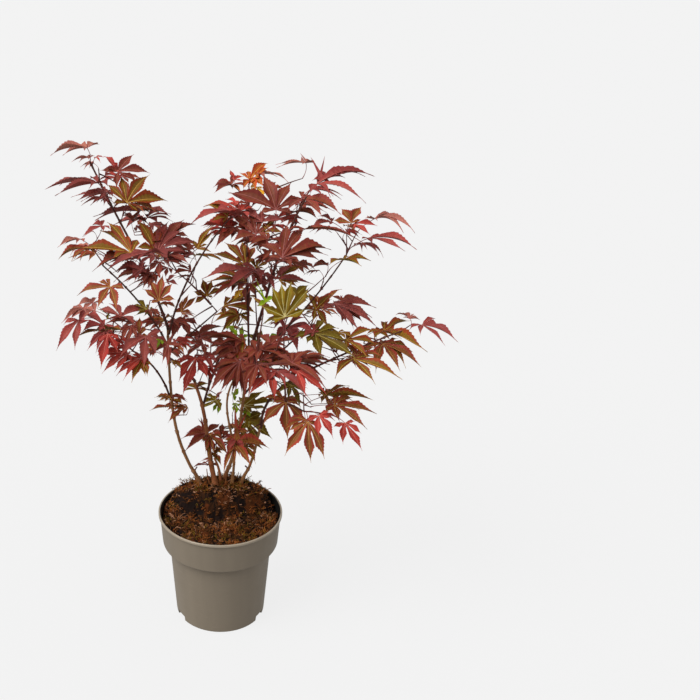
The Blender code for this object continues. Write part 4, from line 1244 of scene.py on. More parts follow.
END_GAP_ON = 0.012  # how far past the limb's end such a leaf starts
LIMB_END_REACH = 0.050  # how far the leaf at the end of a limb may be from it
NEIGHBOUR_REACH = 0.034  # leading leaves nearer than this in the view are neighbours
NEIGHBOURS = 3  # a leaf with fewer, itself counted, has nothing behind it
LEAST_FRONTED = 0.026  # nor has a leaf shorter than this
FAR_DEPTHS = (0.035, 0.105)  # how far behind its lead a far leaf is
FAR_LONGEST = 0.060  # the longest lead that a far leaf takes its length from
# A far leaf takes a darker kind than its lead: painted shade for leaves at the back of the crown.
SHADED_FAR_KINDS = {"amber": "rust", "gold": "olive", "lime": "moss", "scarlet": "crimson", "leafgreen": "olive"}
BOX_MARGIN = 0.008  # how far inside the box a far leaf stays


@cache
def growth():
    """The plant's growth, worked out once."""
    made = Growth()
    made.plant_sprays()
    made.plant_far_side()
    return made


# ---------------------------------------------------------------- pot


def arc(centre, radius, start, end, steps):
    """Points of (radius, height) on an arc, with angles in degrees from the outward direction."""
    turns = [math.radians(start + (end - start) * step / steps) for step in range(steps + 1)]
    return [(centre[0] + radius * math.cos(turn), centre[1] + radius * math.sin(turn)) for turn in turns]


def pot_profile():
    """The pot's section inside, over the lip and down the outside, read off the outline in the frame."""
    _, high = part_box("pot")
    height = high.z
    rim = high.x
    outline = sorted({(round(math.hypot(v.co.x, v.co.y), 5), round(v.co.z, 5))
                      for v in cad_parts["pot"].data.vertices}, key=lambda point: point[1])
    foot = max(radius for radius, level in outline if level < FOOT_LEVEL)
    under_step, step_level = max((radius, level) for radius, level in outline
                                 if level < height * 0.75 and radius < rim * 0.86)
    collar_low = rim - 6.0 * MM
    inner = [(0.0, FLOOR), (foot - WALL - 2.4 * MM, FLOOR)]
    inner += arc((foot - WALL - 2.4 * MM, FLOOR + 1.6 * MM), 1.6 * MM, -90, 0, 6)
    inner += [(under_step - WALL, step_level - 1.0 * MM)]
    inner += [(under_step - WALL + 0.4 * MM, step_level + 0.8 * MM)]
    inner += [(collar_low - WALL - 1.6 * MM, step_level + 2.2 * MM)]
    inner += [(collar_low - WALL, step_level + 4.6 * MM)]
    inner += [(rim - 2.0 * MM - WALL, height - 1.6 * MM)]
    lip = arc((rim - 1.5 * MM, height - 1.5 * MM), 1.5 * MM, 150, 0, 12)
    lip += arc((rim - 1.1 * MM, height - 3.3 * MM), 1.1 * MM, 0, -80, 6)
    outer = [(rim - 2.4 * MM, height - 5.4 * MM)]
    outer += arc((collar_low - BEAD, step_level + BEAD + 0.6 * MM), BEAD, 0, -90, 10)
    outer += arc((under_step + 0.8 * MM, step_level - 0.2 * MM), 0.8 * MM, 90, 180, 5)
    outer += [(foot + (under_step - foot) * level, step_level * level) for level in WALL_LEVELS]
    outer += arc((foot - 1.6 * MM, 1.6 * MM), 1.6 * MM, 0, -90, 6)
    outer += [(foot - 6 * MM, 0.0), (foot - 8 * MM, 1.2 * MM), (0.0, 1.2 * MM)]
    return inner, lip, outer


WALL = 1.6 * MM
FLOOR = 2.2 * MM
BEAD = 3.0 * MM  # radius of the bead under the collar
FOOT_LEVEL = 0.003  # the foot's radius is read off below this height
WALL_LEVELS = (0.8, 0.6, 0.4, 0.2, 0.05)  # heights of the rings on the wall, against the step's


def turned(profile, segments):
    """The profile of (radius, height) points turned round the Z axis; a face's slot is its row's number."""
    made = bmesh.new()
    rings = []
    for radius, height in profile:
        if radius < 1e-6:
            rings.append([made.verts.new((0.0, 0.0, height))])
            continue
        rings.append([made.verts.new((radius * math.sin(2 * math.pi * step / segments),
                                      -radius * math.cos(2 * math.pi * step / segments), height))
                      for step in range(segments)])
    for row, (ring, above) in enumerate(zip(rings, rings[1:])):
        for step in range(segments):
            after = (step + 1) % segments
            corners = [ring[step % len(ring)], ring[after % len(ring)],
                       above[after % len(above)], above[step % len(above)]]
            face = made.faces.new(list(dict.fromkeys(corners)))
            face.material_index = row
    bmesh.ops.recalc_face_normals(made, faces=made.faces)
    return made


def notch_cutter(bearing, foot):
    """A rounded block that cuts one drain notch at the pot's foot."""
    block = bmesh.new()
    bmesh.ops.create_cube(block, size=1.0)
    bmesh.ops.scale(block, vec=NOTCH, verts=block.verts)
    upright = [edge for edge in block.edges
               if abs(edge.verts[0].co.y - edge.verts[1].co.y) > NOTCH[1] / 2 and edge.verts[0].co.z > 0]
    bmesh.ops.bevel(block, geom=upright, offset=2.2 * MM, segments=5, affect="EDGES", profile=0.5)
    mesh = bpy.data.meshes.new("notch_cutter")
    block.to_mesh(mesh)
    block.free()
    cutter = linked("notch_cutter", mesh)
    cutter.location = (foot * math.sin(bearing), -foot * math.cos(bearing), 0.0)
    cutter.rotation_euler = (0.0, 0.0, bearing)
    return cutter


NOTCH = (0.022, 0.022, 0.018)  # width, depth and twice the height of a drain notch's cutter
NOTCH_BEARINGS = (-62, 62, 180)
SHARP = math.radians(38)  # edges of the pot that turn more than this look sharp


def build_pot():
    """The pot as one smooth shell, taupe outside and black inside, with a lighter lip that paints the
    highlight along the rim.
    """
    settings = bpy.context.scene.maple_pot
    inner, lip, outer = pot_profile()
    profile = inner + lip + outer
    shell = turned(profile, settings.segments)
    for face in shell.faces:
        row = face.material_index
        face.material_index = 1 if row < len(inner) + 1 else 2 if row < len(inner) + len(lip) else 0
    mesh = bpy.data.meshes.new("pot_shell")
    shell.to_mesh(mesh)
    shell.free()
    body = linked("pot_shell", mesh)
    foot = outer[-4][0]
    cutters = [notch_cutter(math.radians(bearing), foot) for bearing in NOTCH_BEARINGS]
    for cutter in cutters:
        cut = body.modifiers.new("notch", "BOOLEAN")
        cut.operation = "DIFFERENCE"
        cut.object = cutter
    bpy.context.view_layer.update()
    graph = bpy.context.evaluated_depsgraph_get()
    made = bpy.data.meshes.new_from_object(body.evaluated_get(graph))
    for spent in [body, *cutters]:
        bpy.data.objects.remove(spent, do_unlink=True)
    made.name = "nursery_pot"
    made.shade_smooth()
    made.set_sharp_from_angle(angle=SHARP)
    return made


# ---------------------------------------------------------------- potting mix


CLOD_SCALE = 42  # how close together the clods are, per metre
CLOD_HEIGHT = 0.0065
CRUMB_SCALE = 260
CRUMB_HEIGHT = 0.0013
MIX_LIFT = 0.0012  # how far the mix stands above the frame's surface
MIX_LEVEL = 0.160  # height of the mix where the frame has no surface
SKIRT_LEVEL = 0.152  # the bed's edge goes down to here, behind the pot's wall
BED_RINGS = 70
BED_SPOKES = 220
# The bed's colour follows the clods' height: the near-black peat in the hollows is painted shade, the rusty
# colour on the tops painted light.
SHADED_HOLLOW = -0.12  # clods lower than this are peat, and higher than LIT_CLOD_TOP rusty
LIT_CLOD_TOP = 0.16
RIM_GAP = 0.003  # what lies on the mix keeps this far from the pot
SEED_TURN = 2.39996  # turn from one place to the next, as in a sunflower, in radians


class MixSurface:
    """The top of the potting mix: the frame's surface with clods, hollows and crumbs added."""

    def __init__(self):
        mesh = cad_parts["potting_mix"].data
        self.tree = BVHTree.FromPolygons([vertex.co for vertex in mesh.vertices],
                                         [list(polygon.vertices) for polygon in mesh.polygons])
        self.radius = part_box("potting_mix")[1].x - 1.3 * MM

    def smooth_height(self, x, y):
        """Height of the frame's surface."""
        hit = self.tree.ray_cast(Vector((x, y, 0.4)), Vector((0.0, 0.0, -1.0)))
        return hit[0].z if hit[0] is not None and hit[0].z > 0.1 else MIX_LEVEL

    def clods(self, x, y):
        """How far the clods rise here, from about -1 to 1."""
        return noise.fractal(Vector((x * CLOD_SCALE, y * CLOD_SCALE, 3.0)), 0.8, 2.2, 4)

    def on_top(self, x, y):
        """The point of the mix at x and y."""
        crumbs = noise.fractal(Vector((x * CRUMB_SCALE, y * CRUMB_SCALE, 9.0)), 0.8, 2.0, 3)
        level = self.smooth_height(x, y) + self.clods(x, y) * CLOD_HEIGHT + crumbs * CRUMB_HEIGHT + MIX_LIFT
        return np.array((x, y, level))


def build_bed(surface):
    """The bed of peat, displaced all over and coloured by height: near-black in the hollows as painted shade,
    brown and rusty on the clods with painted light on their tops.
    """
    turns = [2 * math.pi * spoke / BED_SPOKES for spoke in range(BED_SPOKES)]
    points = [surface.on_top(0.0, 0.0)]
    for ring in range(1, BED_RINGS + 1):
        radius = surface.radius * ring / BED_RINGS
        points += [surface.on_top(radius * math.cos(turn), radius * math.sin(turn)) for turn in turns]
    skirt = surface.radius - 3 * MM
    points += [(skirt * math.cos(turn), skirt * math.sin(turn), SKIRT_LEVEL) for turn in turns]
    faces = [(0, 1 + spoke, 1 + (spoke + 1) % BED_SPOKES) for spoke in range(BED_SPOKES)]
    quads = ([], [], [])
    for ring in range(BED_RINGS):
        row = 1 + ring * BED_SPOKES
        below = row + BED_SPOKES
        for spoke in range(BED_SPOKES):
            after = (spoke + 1) % BED_SPOKES
            rise = surface.clods(*points[row + spoke][:2])
            shade = 0 if rise < SHADED_HOLLOW else 1 if rise < LIT_CLOD_TOP else 2
            quads[shade].append((row + spoke, below + spoke, below + after, row + after))
    gather = Gather()
    gather.add(points, faces)
    for shade, patch in enumerate(quads):
        gather.add_faces(patch, shade)
    return gather


def spread_evenly(rng, surface, index, count):
    """The place on the mix of one of many, spaced like seeds in a sunflower."""
    radius = (surface.radius - RIM_GAP) * math.sqrt((index + rng.random()) / count)
    turn = index * SEED_TURN + rng.uniform(-0.1, 0.1)
    return surface.on_top(radius * math.cos(turn), radius * math.sin(turn))


def scatter(rng, surface):
    """A random place on the mix."""
    radius = (surface.radius - RIM_GAP) * math.sqrt(rng.random())
    turn = rng.uniform(0, 2 * math.pi)
    return surface.on_top(radius * math.cos(turn), radius * math.sin(turn))


FIBRE_PROFILE = np.array([0.8, 1.1, 1.0, 0.85, 0.6, 0.3])  # girth of a fibre from foot to tip
FIBRE_GIRTHS = (0.26, 0.66)  # least and most radius in millimetres
TUFT_SIZES = (0.004, 0.008)
FOOT_TUFT_SIZES = (0.005, 0.009)
TUFT_GAP = -0.06  # clods lower than this are mostly bare
GAP_SHARE = 0.8  # share of the tufts that are left out there
TUFT_TINT_SHARE = 0.82  # share of a tuft's fibres that have its own tint
# Tufts high on the clods take the rustier mix and lower ones the browner mix: painted light on the tops and
# painted shade lower down.
LIT_RUSTY_TINTS = (0.55, 0.20, 0.12, 0.13)  # shares of rust, brown, tan and moss on the clods
SHADED_BROWN_TINTS = (0.25, 0.5, 0.05, 0.2)  # and lower down
RUSTY_RISE = 0.05
CHIP_TINTS = (0.50, 0.40, 0.10)  # shares of brown, peat and tan chips
CHIP_SIZES = (0.0010, 0.0030)
BLOCK = np.array([(x, y, z) for x in (-1, 1) for y in (-1, 1) for z in (-1, 1)], float)
BLOCK_FACES = [(0, 1, 3, 2), (4, 6, 7, 5), (0, 4, 5, 1), (2, 3, 7, 6), (0, 2, 6, 4), (1, 5, 7, 3)]
SPRIGS = ((-40, 0.004), (44, -0.003))  # bearing from the back in degrees, and reach past the rim


def add_fibre(gather, rng, foot, lean, length, girth, slot):
    """One curly fibre that starts at its foot and falls back towards the mix."""
    curl = np.array([rng.uniform(-1, 1), rng.uniform(-1, 1), rng.uniform(0.0, 1.1)])
    count = len(FIBRE_PROFILE)
    path = arch(foot, foot + lean * length, curl * length * 0.55, count)
    bend = np.array([rng.uniform(-1, 1), rng.uniform(-1, 1), 0.0]) * length * 0.14
    path = path + np.sin(np.linspace(0, 2 * math.pi, count))[:, None] * bend
    add_tube(gather, path, girth * FIBRE_PROFILE, 4, slot)


def add_tuft(gather, rng, surface, middle, size, tint, count):
    """A bunch of curly fibres round a middle point."""
    for _ in range(count):
        turn = rng.uniform(0, 2 * math.pi)
        spread = np.array((math.cos(turn), math.sin(turn), 0.0))
        foot = middle + spread * size * rng.uniform(0.0, 0.8) - UP * 0.001
        lean = unit(spread * rng.uniform(0.2, 1.0) + UP * rng.uniform(0.0, 0.7))
        length = size * rng.uniform(0.7, 1.6)
        shade = tint if rng.random() < TUFT_TINT_SHARE else rng.randrange(len(LIT_RUSTY_TINTS))
        if np.hypot(*(foot + lean * length)[:2]) < surface.radius - 0.001:
            add_fibre(gather, rng, foot, lean, length, rng.uniform(*FIBRE_GIRTHS) * MM, shade)


def build_fibres(surface):
    """Tufts of coir and moss on the clods, few in the hollows, rustier high on the clods and browner lower
    down as painted light and shade, and a mossy clump round the stems' feet.
    """
    settings = bpy.context.scene.maple_pot
    rng = random.Random(7)
    gather = Gather()
    for index in range(settings.tufts):
        middle = spread_evenly(rng, surface, index, settings.tufts)
        rise = surface.clods(*middle[:2])
        if rise < TUFT_GAP and rng.random() < GAP_SHARE:
            continue
        tint = rng.choices((0, 1, 2, 3), LIT_RUSTY_TINTS if rise > RUSTY_RISE else SHADED_BROWN_TINTS)[0]
        add_tuft(gather, rng, surface, middle, rng.uniform(*TUFT_SIZES), tint, rng.randrange(8, 15))
    for name in STEMS:
        foot = growth().routes[name][0][0]
        for _ in range(settings.foot_tufts):
            x, y = foot[0] + rng.uniform(-0.014, 0.014), foot[1] + rng.uniform(-0.014, 0.010)
            middle = surface.on_top(x, y)
            add_tuft(gather, rng, surface, middle, rng.uniform(*FOOT_TUFT_SIZES), rng.choice((0, 1, 1, 3)), 9)
    return gather


def rotation(angle, first, second):
    """The matrix of a turn from the first axis towards the second."""
    made = np.eye(3)
    made[first, first] = made[second, second] = math.cos(angle)
    made[first, second] = -math.sin(angle)
    made[second, first] = math.sin(angle)
    return made


def build_chips(surface):
    """Chips of bark and lumps of peat: blocks with uneven corners, lying at all angles."""
    rng = random.Random(11)
    gather = Gather()
    for _ in range(bpy.context.scene.maple_pot.chips):
        place = scatter(rng, surface)
        size = rng.uniform(*CHIP_SIZES)
        shape = np.array((size, size * rng.uniform(0.35, 0.8), size * rng.uniform(0.2, 0.5)))
        jitter = np.array([[rng.uniform(0.55, 1.15) for _ in range(3)] for _ in BLOCK])
        turned_round = rotation(rng.uniform(0, 2 * math.pi), 0, 1)
        tilted = rotation(rng.uniform(-0.8, 0.8), 1, 2)
        points = BLOCK * jitter * shape @ (turned_round @ tilted).T + place
        gather.add(points, BLOCK_FACES, rng.choices((0, 1, 2), CHIP_TINTS)[0])
    return gather


def build_sprigs(surface):
    """Two dry sprigs of moss that stand out past the rim at the back."""
    rng = random.Random(5)
    gather = Gather()
    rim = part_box("pot")[1]
    count = 10
    for bearing, reach in SPRIGS:
        outward = np.array((math.sin(math.radians(bearing)), math.cos(math.radians(bearing)), 0.0))
        foot = surface.on_top(*(outward * (surface.radius - 0.010))[:2])
        end = outward * (rim.x + reach) + UP * (rim.z + 0.006)
        stem = arch(foot, end, UP * 0.007, count)
        add_tube(gather, stem, np.linspace(0.55, 0.3, count) * MM, 5, 0)
        for point in np.repeat(stem[4:], 2, axis=0):
            lean = unit(outward * rng.uniform(-0.3, 0.9) + UP * rng.uniform(-0.7, 0.9)
                        + ACROSS * rng.uniform(-0.9, 0.9))
            add_fibre(gather, rng, point, lean, rng.uniform(0.003, 0.006), 0.3 * MM, 0)
    return gather


# ---------------------------------------------------------------- materials


SURFACE = {"Color": "NodeSocketColor", "Roughness": "NodeSocketFloat", "Height": "NodeSocketFloat"}
BUMP_STRENGTH = 0.6
LENTICEL = (0.42, 0.29, 0.19)


def new_group(name, inputs):
    """A shader node group that puts out a surface, with its inputs given as named numbers and colours."""
    group = bpy.data.node_groups.new(name, "ShaderNodeTree")
    for label, value in inputs.items():
        plain = isinstance(value, float)
        kind = "NodeSocketFloat" if plain else "NodeSocketColor"
        socket = group.interface.new_socket(name=label, in_out="INPUT", socket_type=kind)
        socket.default_value = value if plain else (*value, 1.0)
    for label, kind in SURFACE.items():
        group.interface.new_socket(name=label, in_out="OUTPUT", socket_type=kind)
    return group, group.nodes.new("NodeGroupInput").outputs


def put_out(tree, *values):
    """Links the colour, roughness and height that a group has made to what it puts out."""
    leave = tree.nodes.new("NodeGroupOutput")
    for label, value in zip(SURFACE, values):
        tree.links.new(value, leave.inputs[label])
    return tree


def put(tree, value, socket):
    """Gives a socket its value: another socket to link it to, a number or a colour."""
    if isinstance(value, bpy.types.NodeSocket):
        tree.links.new(value, socket)
    elif isinstance(value, (int, float)):
        socket.default_value = value
    else:
        socket.default_value = (*value[:3], 1.0)


def noise_node(tree, vector, scale, detail=3.0, roughness=0.55):
    """A noise texture; scale may be a number or a socket."""
    node = tree.nodes.new("ShaderNodeTexNoise")
    for label, value in (("Detail", detail), ("Roughness", roughness), ("Scale", scale), ("Vector", vector)):
        put(tree, value, node.inputs[label])
    return node.outputs["Fac"]


def cells_node(tree, vector, scale, feature):
    """The distance across the cells of a cell texture; scale may be a number or a socket."""
    node = tree.nodes.new("ShaderNodeTexVoronoi")
    node.feature = feature
    put(tree, scale, node.inputs["Scale"])
    put(tree, vector, node.inputs["Vector"])
    return node.outputs["Distance"]


def remap(tree, value, low, high, to_low, to_high):
    """The value moved from one range to another, kept inside it."""
    node = tree.nodes.new("ShaderNodeMapRange")
    for label, number in zip(("From Min", "From Max", "To Min", "To Max"), (low, high, to_low, to_high)):
        put(tree, number, node.inputs[label])
    put(tree, value, node.inputs["Value"])
    return node.outputs["Result"]


def spread_out(tree, value, to_low, to_high):
    """A noise's value, which is mostly from 0.3 to 0.7, moved to another range."""
    return remap(tree, value, 0.3, 0.7, to_low, to_high)


def sum_of(tree, first, second):
    """The sum of two sockets."""
    node = tree.nodes.new("ShaderNodeMath")
    node.operation = "ADD"
    put(tree, first, node.inputs[0])
    put(tree, second, node.inputs[1])
    return node.outputs[0]


def blend_colours(tree, share, first, second, way="MIX"):
    """A mix of two colours; each may be a socket or a colour, and share a socket or a number."""
    node = tree.nodes.new("ShaderNodeMix")
    node.data_type = "RGBA"
    node.blend_type = way
    for socket, value in ((node.inputs[0], share), (node.inputs[6], first), (node.inputs[7], second)):
        put(tree, value, socket)
    return node.outputs[2]


def brightened(tree, colour, share):
    """The colour multiplied by a grey of that strength."""
    grey = tree.nodes.new("ShaderNodeCombineColor")
    for channel in ("Red", "Green", "Blue"):
        tree.links.new(share, grey.inputs[channel])
    return blend_colours(tree, 1.0, colour, grey.outputs["Color"], "MULTIPLY")


def object_place(tree, stretch=None):
    """The place on the plant, stretched along each axis."""
    place = tree.nodes.new("ShaderNodeTexCoord").outputs["Object"]
    if stretch is None:
        return place
    mapping = tree.nodes.new("ShaderNodeMapping")
    mapping.inputs["Scale"].default_value = stretch
    tree.links.new(place, mapping.inputs["Vector"])
    return mapping.outputs["Vector"]


@cache
def leaf_tissue_group():
    """Leaf tissue: slow drifts of tint, a fine cell grain, and a satin that comes and goes."""
    tree, given = new_group("leaf_tissue", {
        "Blade": (0.2, 0.05, 0.04), "Shade": (0.1, 0.02, 0.02), "Drift Scale": 22.0, "Grain Scale": 900.0,
        "Drift": 0.8, "Satin": 0.46,
    })
    place = object_place(tree)
    drift = remap(tree, noise_node(tree, place, given["Drift Scale"], 2.0), 0.36, 0.64, 0.0, given["Drift"])
    tinted = blend_colours(tree, drift, given["Blade"], given["Shade"])
    veil = spread_out(tree, noise_node(tree, place, 210.0, 4.0, 0.6), 0.86, 1.14)
    uneven = spread_out(tree, noise_node(tree, place, 120.0), -0.07, 0.09)
    return put_out(tree, brightened(tree, tinted, veil), sum_of(tree, given["Satin"], uneven),
                   cells_node(tree, place, given["Grain Scale"], "DISTANCE_TO_EDGE"))


@cache
def bark_group():
    """Young bark: streaks along the limb, pale lenticels and a weathered drift between two colours."""
    tree, given = new_group("young_bark", {
        "Main": (0.2, 0.1, 0.05), "Weathered": (0.3, 0.2, 0.12), "Weathering": 0.5, "Lenticels": 0.5,
    })
    streaks = noise_node(tree, object_place(tree, (900.0, 900.0, 130.0)), 1.0, 4.0, 0.6)
    drift = remap(tree, noise_node(tree, object_place(tree), 75.0), 0.38, 0.66, 0.0, given["Weathering"])
    colour = blend_colours(tree, drift, given["Main"], given["Weathered"])
    colour = brightened(tree, colour, spread_out(tree, streaks, 0.72, 1.22))
    spots = cells_node(tree, object_place(tree, (420.0, 420.0, 240.0)), 1.0, "F1")
    colour = blend_colours(tree, remap(tree, spots, 0.10, 0.22, given["Lenticels"], 0.0), colour, LENTICEL)
    return put_out(tree, colour, spread_out(tree, streaks, 0.62, 0.82), streaks)


@cache
def moulded_group():
    """Moulded plastic: a fine grain, faint flow lines down the wall, and dusty scuffs."""
    tree, given = new_group("moulded_plastic", {
        "Plastic": (0.2, 0.17, 0.13), "Dust": (0.35, 0.31, 0.26), "Scuffs": 0.3, "Satin": 0.42,
    })
    place = object_place(tree)
    flow = noise_node(tree, object_place(tree, (60.0, 60.0, 6.0)), 1.0, 2.0)
    colour = brightened(tree, given["Plastic"], spread_out(tree, flow, 0.965, 1.035))
    scratches = noise_node(tree, object_place(tree, (38.0, 38.0, 420.0)), 1.0, 5.0, 0.7)
    scuff = remap(tree, scratches, 0.60, 0.74, 0.0, given["Scuffs"])
    colour = blend_colours(tree, scuff, colour, given["Dust"])
    worn = spread_out(tree, noise_node(tree, place, 45.0, 4.0), -0.05, 0.09)
    return put_out(tree, colour, sum_of(tree, given["Satin"], worn), noise_node(tree, place, 1700.0, 2.0))


@cache
def humus_group():
    """Damp humus: patches of two colours, crumbs that catch the light, and a matte wet drift."""
    tree, given = new_group("humus", {
        "Main": (0.08, 0.03, 0.01), "Patch": (0.2, 0.08, 0.03), "Patchiness": 0.8, "Crumb Scale": 900.0,
    })
    place = object_place(tree)
    patch = remap(tree, noise_node(tree, place, 95.0, 3.0, 0.65), 0.42, 0.62, 0.0, given["Patchiness"])
    colour = blend_colours(tree, patch, given["Main"], given["Patch"])
    crumbs = noise_node(tree, place, given["Crumb Scale"], 4.0, 0.7)
    return put_out(tree, brightened(tree, colour, spread_out(tree, crumbs, 0.55, 1.45)),
                   remap(tree, patch, 0.0, 1.0, 0.78, 0.92), crumbs)


def finish(name, maker, values, relief, underside=None, specular=0.5):
    """A material: one shared group feeds a Principled shader, with the group's own values set here.

    relief is the depth of the bump. underside is the colour of the back of a thin blade.
    """
    material = bpy.data.materials.new(name)
    material.use_nodes = True
    tree = material.node_tree
    shader = tree.nodes["Principled BSDF"]
    effect = tree.nodes.new("ShaderNodeGroup")
    effect.node_tree = maker()
    for label, value in values.items():
        put(tree, value, effect.inputs[label])
    colour = effect.outputs["Color"]
    if underside is not None:
        back = tree.nodes.new("ShaderNodeNewGeometry").outputs["Backfacing"]
        colour = blend_colours(tree, back, colour, underside)
    bump = tree.nodes.new("ShaderNodeBump")
    for value, socket in ((colour, shader.inputs["Base Color"]),
                          (effect.outputs["Roughness"], shader.inputs["Roughness"]),
                          (specular, shader.inputs["Specular IOR Level"]),
                          (BUMP_STRENGTH, bump.inputs["Strength"]),
                          (relief, bump.inputs["Distance"]),
                          (effect.outputs["Height"], bump.inputs["Height"]),
                          (bump.outputs["Normal"], shader.inputs["Normal"])):
        put(tree, value, socket)
    return material


def times(colour, *factors):
    """The colour with its channels multiplied, by one factor for all or by one for each."""
    if len(factors) == 1:
        factors = factors * 3
    return tuple(min(channel * factor, 1.0) for channel, factor in zip(colour, factors))


def leaf_materials(kind):
    """The materials of one kind of leaf: beside the midribs, towards the edges, and the ribs."""
    made = LEAF_KINDS[kind]
    blade = getattr(bpy.context.scene.maple_colours, kind)
    under = times(blade, 0.95, 1.15, 1.20)
    blades = [finish(f"{kind}_{zone}", leaf_tissue_group, {"Blade": colour, "Shade": times(colour, *DRIFT)},
                     BLADE_RELIEF, under, specular=0.12)
              for zone, colour in (("blade", blade), ("edge", times(blade, *made.shade)))]
    rib = finish(f"{kind}_rib", leaf_tissue_group,
                 {"Blade": made.rib, "Shade": times(made.rib, 0.8, 0.7, 0.7), "Drift": 0.5, "Satin": 0.5},
                 RIB_RELIEF, specular=0.3)
    return (*blades, rib)


DRIFT = (0.60, 0.56, 0.66)  # what a leaf's colour is multiplied by where it drifts darker
BLADE_RELIEF = 0.05 * MM
RIB_RELIEF = 0.02 * MM
STALK_RELIEF = 0.03 * MM
BARK_RELIEF = 0.25 * MM
HUMUS_RELIEF = 0.3 * MM
PLASTIC_RELIEF = 0.04 * MM


def wood_material(name, main, weathered, weathering, lenticels):
    """A bark of two colours."""
    return finish(name, bark_group, {"Main": main, "Weathered": weathered, "Weathering": weathering,
                                     "Lenticels": lenticels}, BARK_RELIEF, specular=0.2)


def humus_material(name, main, patch):
    """A peat, fibre or chip of two colours."""
    return finish(name, humus_group, {"Main": main, "Patch": patch}, HUMUS_RELIEF, specular=0.12)


# ---------------------------------------------------------------- operators


class MAPLE_OT_pot(bpy.types.Operator):
    """Build the nursery pot."""

    bl_idname = "maple.pot"
    bl_label = "Pot"

    def execute(self, context):
        settings = context.scene.maple_pot
        taupe, black = settings.plastic, settings.inside
        outside = {"Plastic": taupe, "Dust": times(taupe, 1.5), "Scuffs": 0.28, "Satin": 0.43}
        inside = {"Plastic": black, "Dust": (0.06, 0.045, 0.03), "Scuffs": 0.5, "Satin": 0.4}
        # The lip is lighter than the wall to paint the highlight along the rim, with more scuffs as real
        # wear.
        lip = {"Plastic": times(taupe, 1.45), "Scuffs": 0.6, "Satin": 0.3}
        materials = (finish("taupe_plastic", moulded_group, outside, PLASTIC_RELIEF, specular=0.25),
                     finish("black_plastic", moulded_group, inside, PLASTIC_RELIEF),
                     finish("worn_lip", moulded_group, lip, PLASTIC_RELIEF))
        add_piece("nursery_pot", build_pot(), materials, ("pot",))
        return {"FINISHED"}


class MAPLE_OT_mix(bpy.types.Operator):
    """Build the potting mix: its bed, fibres, chips and sprigs."""

    bl_idname = "maple.mix"
    bl_label = "Potting mix"

    def execute(self, context):
        settings = context.scene.maple_pot
        surface = MixSurface()
        rust, brown = settings.fibre_rust, settings.fibre_brown
        tan, peat = settings.fibre_tan, settings.peat
        # The bed's three shades are laid out by clod height over the mix's own dark tones: the peat in the
        # hollows is painted shade, the rusty bed on the tops painted light.
        bed = (humus_material("peat_bed", peat, times(peat, 2.0)),
               humus_material("brown_bed", times(brown, 0.35, 0.33, 0.30), peat),
               humus_material("rusty_bed", times(rust, 0.28, 0.22, 0.18), times(brown, 0.3)))
        fibres = (humus_material("coir_rust", rust, times(rust, 0.36, 0.26, 0.20)),
                  humus_material("coir_brown", brown, times(brown, 0.30, 0.28, 0.26)),
                  humus_material("coir_tan", tan, times(tan, 0.5, 0.42, 0.36)),
                  humus_material("moss_green", times(rust, 0.55, 0.95, 0.40), times(brown, 0.8, 1.1, 0.6)))
        chips = (humus_material("chip_brown", times(brown, 0.7), brown),
                 humus_material("chip_peat", peat, times(peat, 2.5)),
                 humus_material("chip_tan", tan, times(tan, 0.6, 0.5, 0.45)))
        sprig = humus_material("dry_moss", times(brown, 0.9, 1.2, 1.2), brown)
        add_piece("peat_bed", build_bed(surface), bed, ("potting_mix",))
        add_piece("coir_fibres", build_fibres(surface), fibres)
        add_piece("bark_chips", build_chips(surface), chips)
        add_piece("moss_sprigs", build_sprigs(surface), (sprig,))
        return {"FINISHED"}


SNAGS = (  # old shoots at the foot: foot, tip, bow and girth, in millimetres
    ((1, 43, 198), (-9, 43, 245), (4, -1, 6), 2.0),
    ((-2, 36, 197), (-10, 31, 216), (0, 0, 3), 1.3),
    ((4, 46, 198), (13, 44, 231), (-1, 0, 2), 0.9),
    ((7, 40, 197), (9, 36, 221), (1, -1, 0), 0.8),
    ((-16, 42, 198), (-21, 37, 230), (-2, 0, 1), 0.9),
)
LONG_TWIG = 0.080  # length that makes a twig one full girth stouter where it starts
STOUTEST_TWIG = 1.9


class MAPLE_OT_limbs(bpy.types.Operator):
    """Build the stems and boughs with their bark."""

    bl_idname = "maple.limbs"
    bl_label = "Stems and boughs"

    def execute(self, context):
        wood = context.scene.maple_wood
        old, young, red = wood.old_bark, wood.young_bark, wood.red_bark
        stem = wood_material("stem_bark", old, times(old, 1.5, 1.55, 1.6), 0.6, 0.5)
        thick = wood_material("thick_stem_bark", red, times(old, 1.2, 1.1, 1.0), 0.55, 0.4)
        bough = wood_material("bough_bark", young, times(young, 2.2, 1.9, 1.7), 0.6, 0.25)
        bud = wood_material("bud_scales", times(young, 2.4, 1.2, 1.1), young, 0.5, 0.0)
        for seed, (name, (path, radii)) in enumerate(growth().routes.items(), start=1):
            bark = bough if name in BOUGHS else thick if name == "trunk_back" else stem
            add_piece("bark_" + name, build_limb(name, path, radii, seed), (bark, bud), (name,))
        snags = Gather()
        for foot, tip, bow, girth in SNAGS:
            path = arch(np.array(foot) * MM, np.array(tip) * MM, np.array(bow) * MM, 9)
            add_tube(snags, path, girth * MM * np.linspace(1.3, 0.75, len(path)), 10)
        add_piece("bark_snags", snags, (thick,))
        return {"FINISHED"}


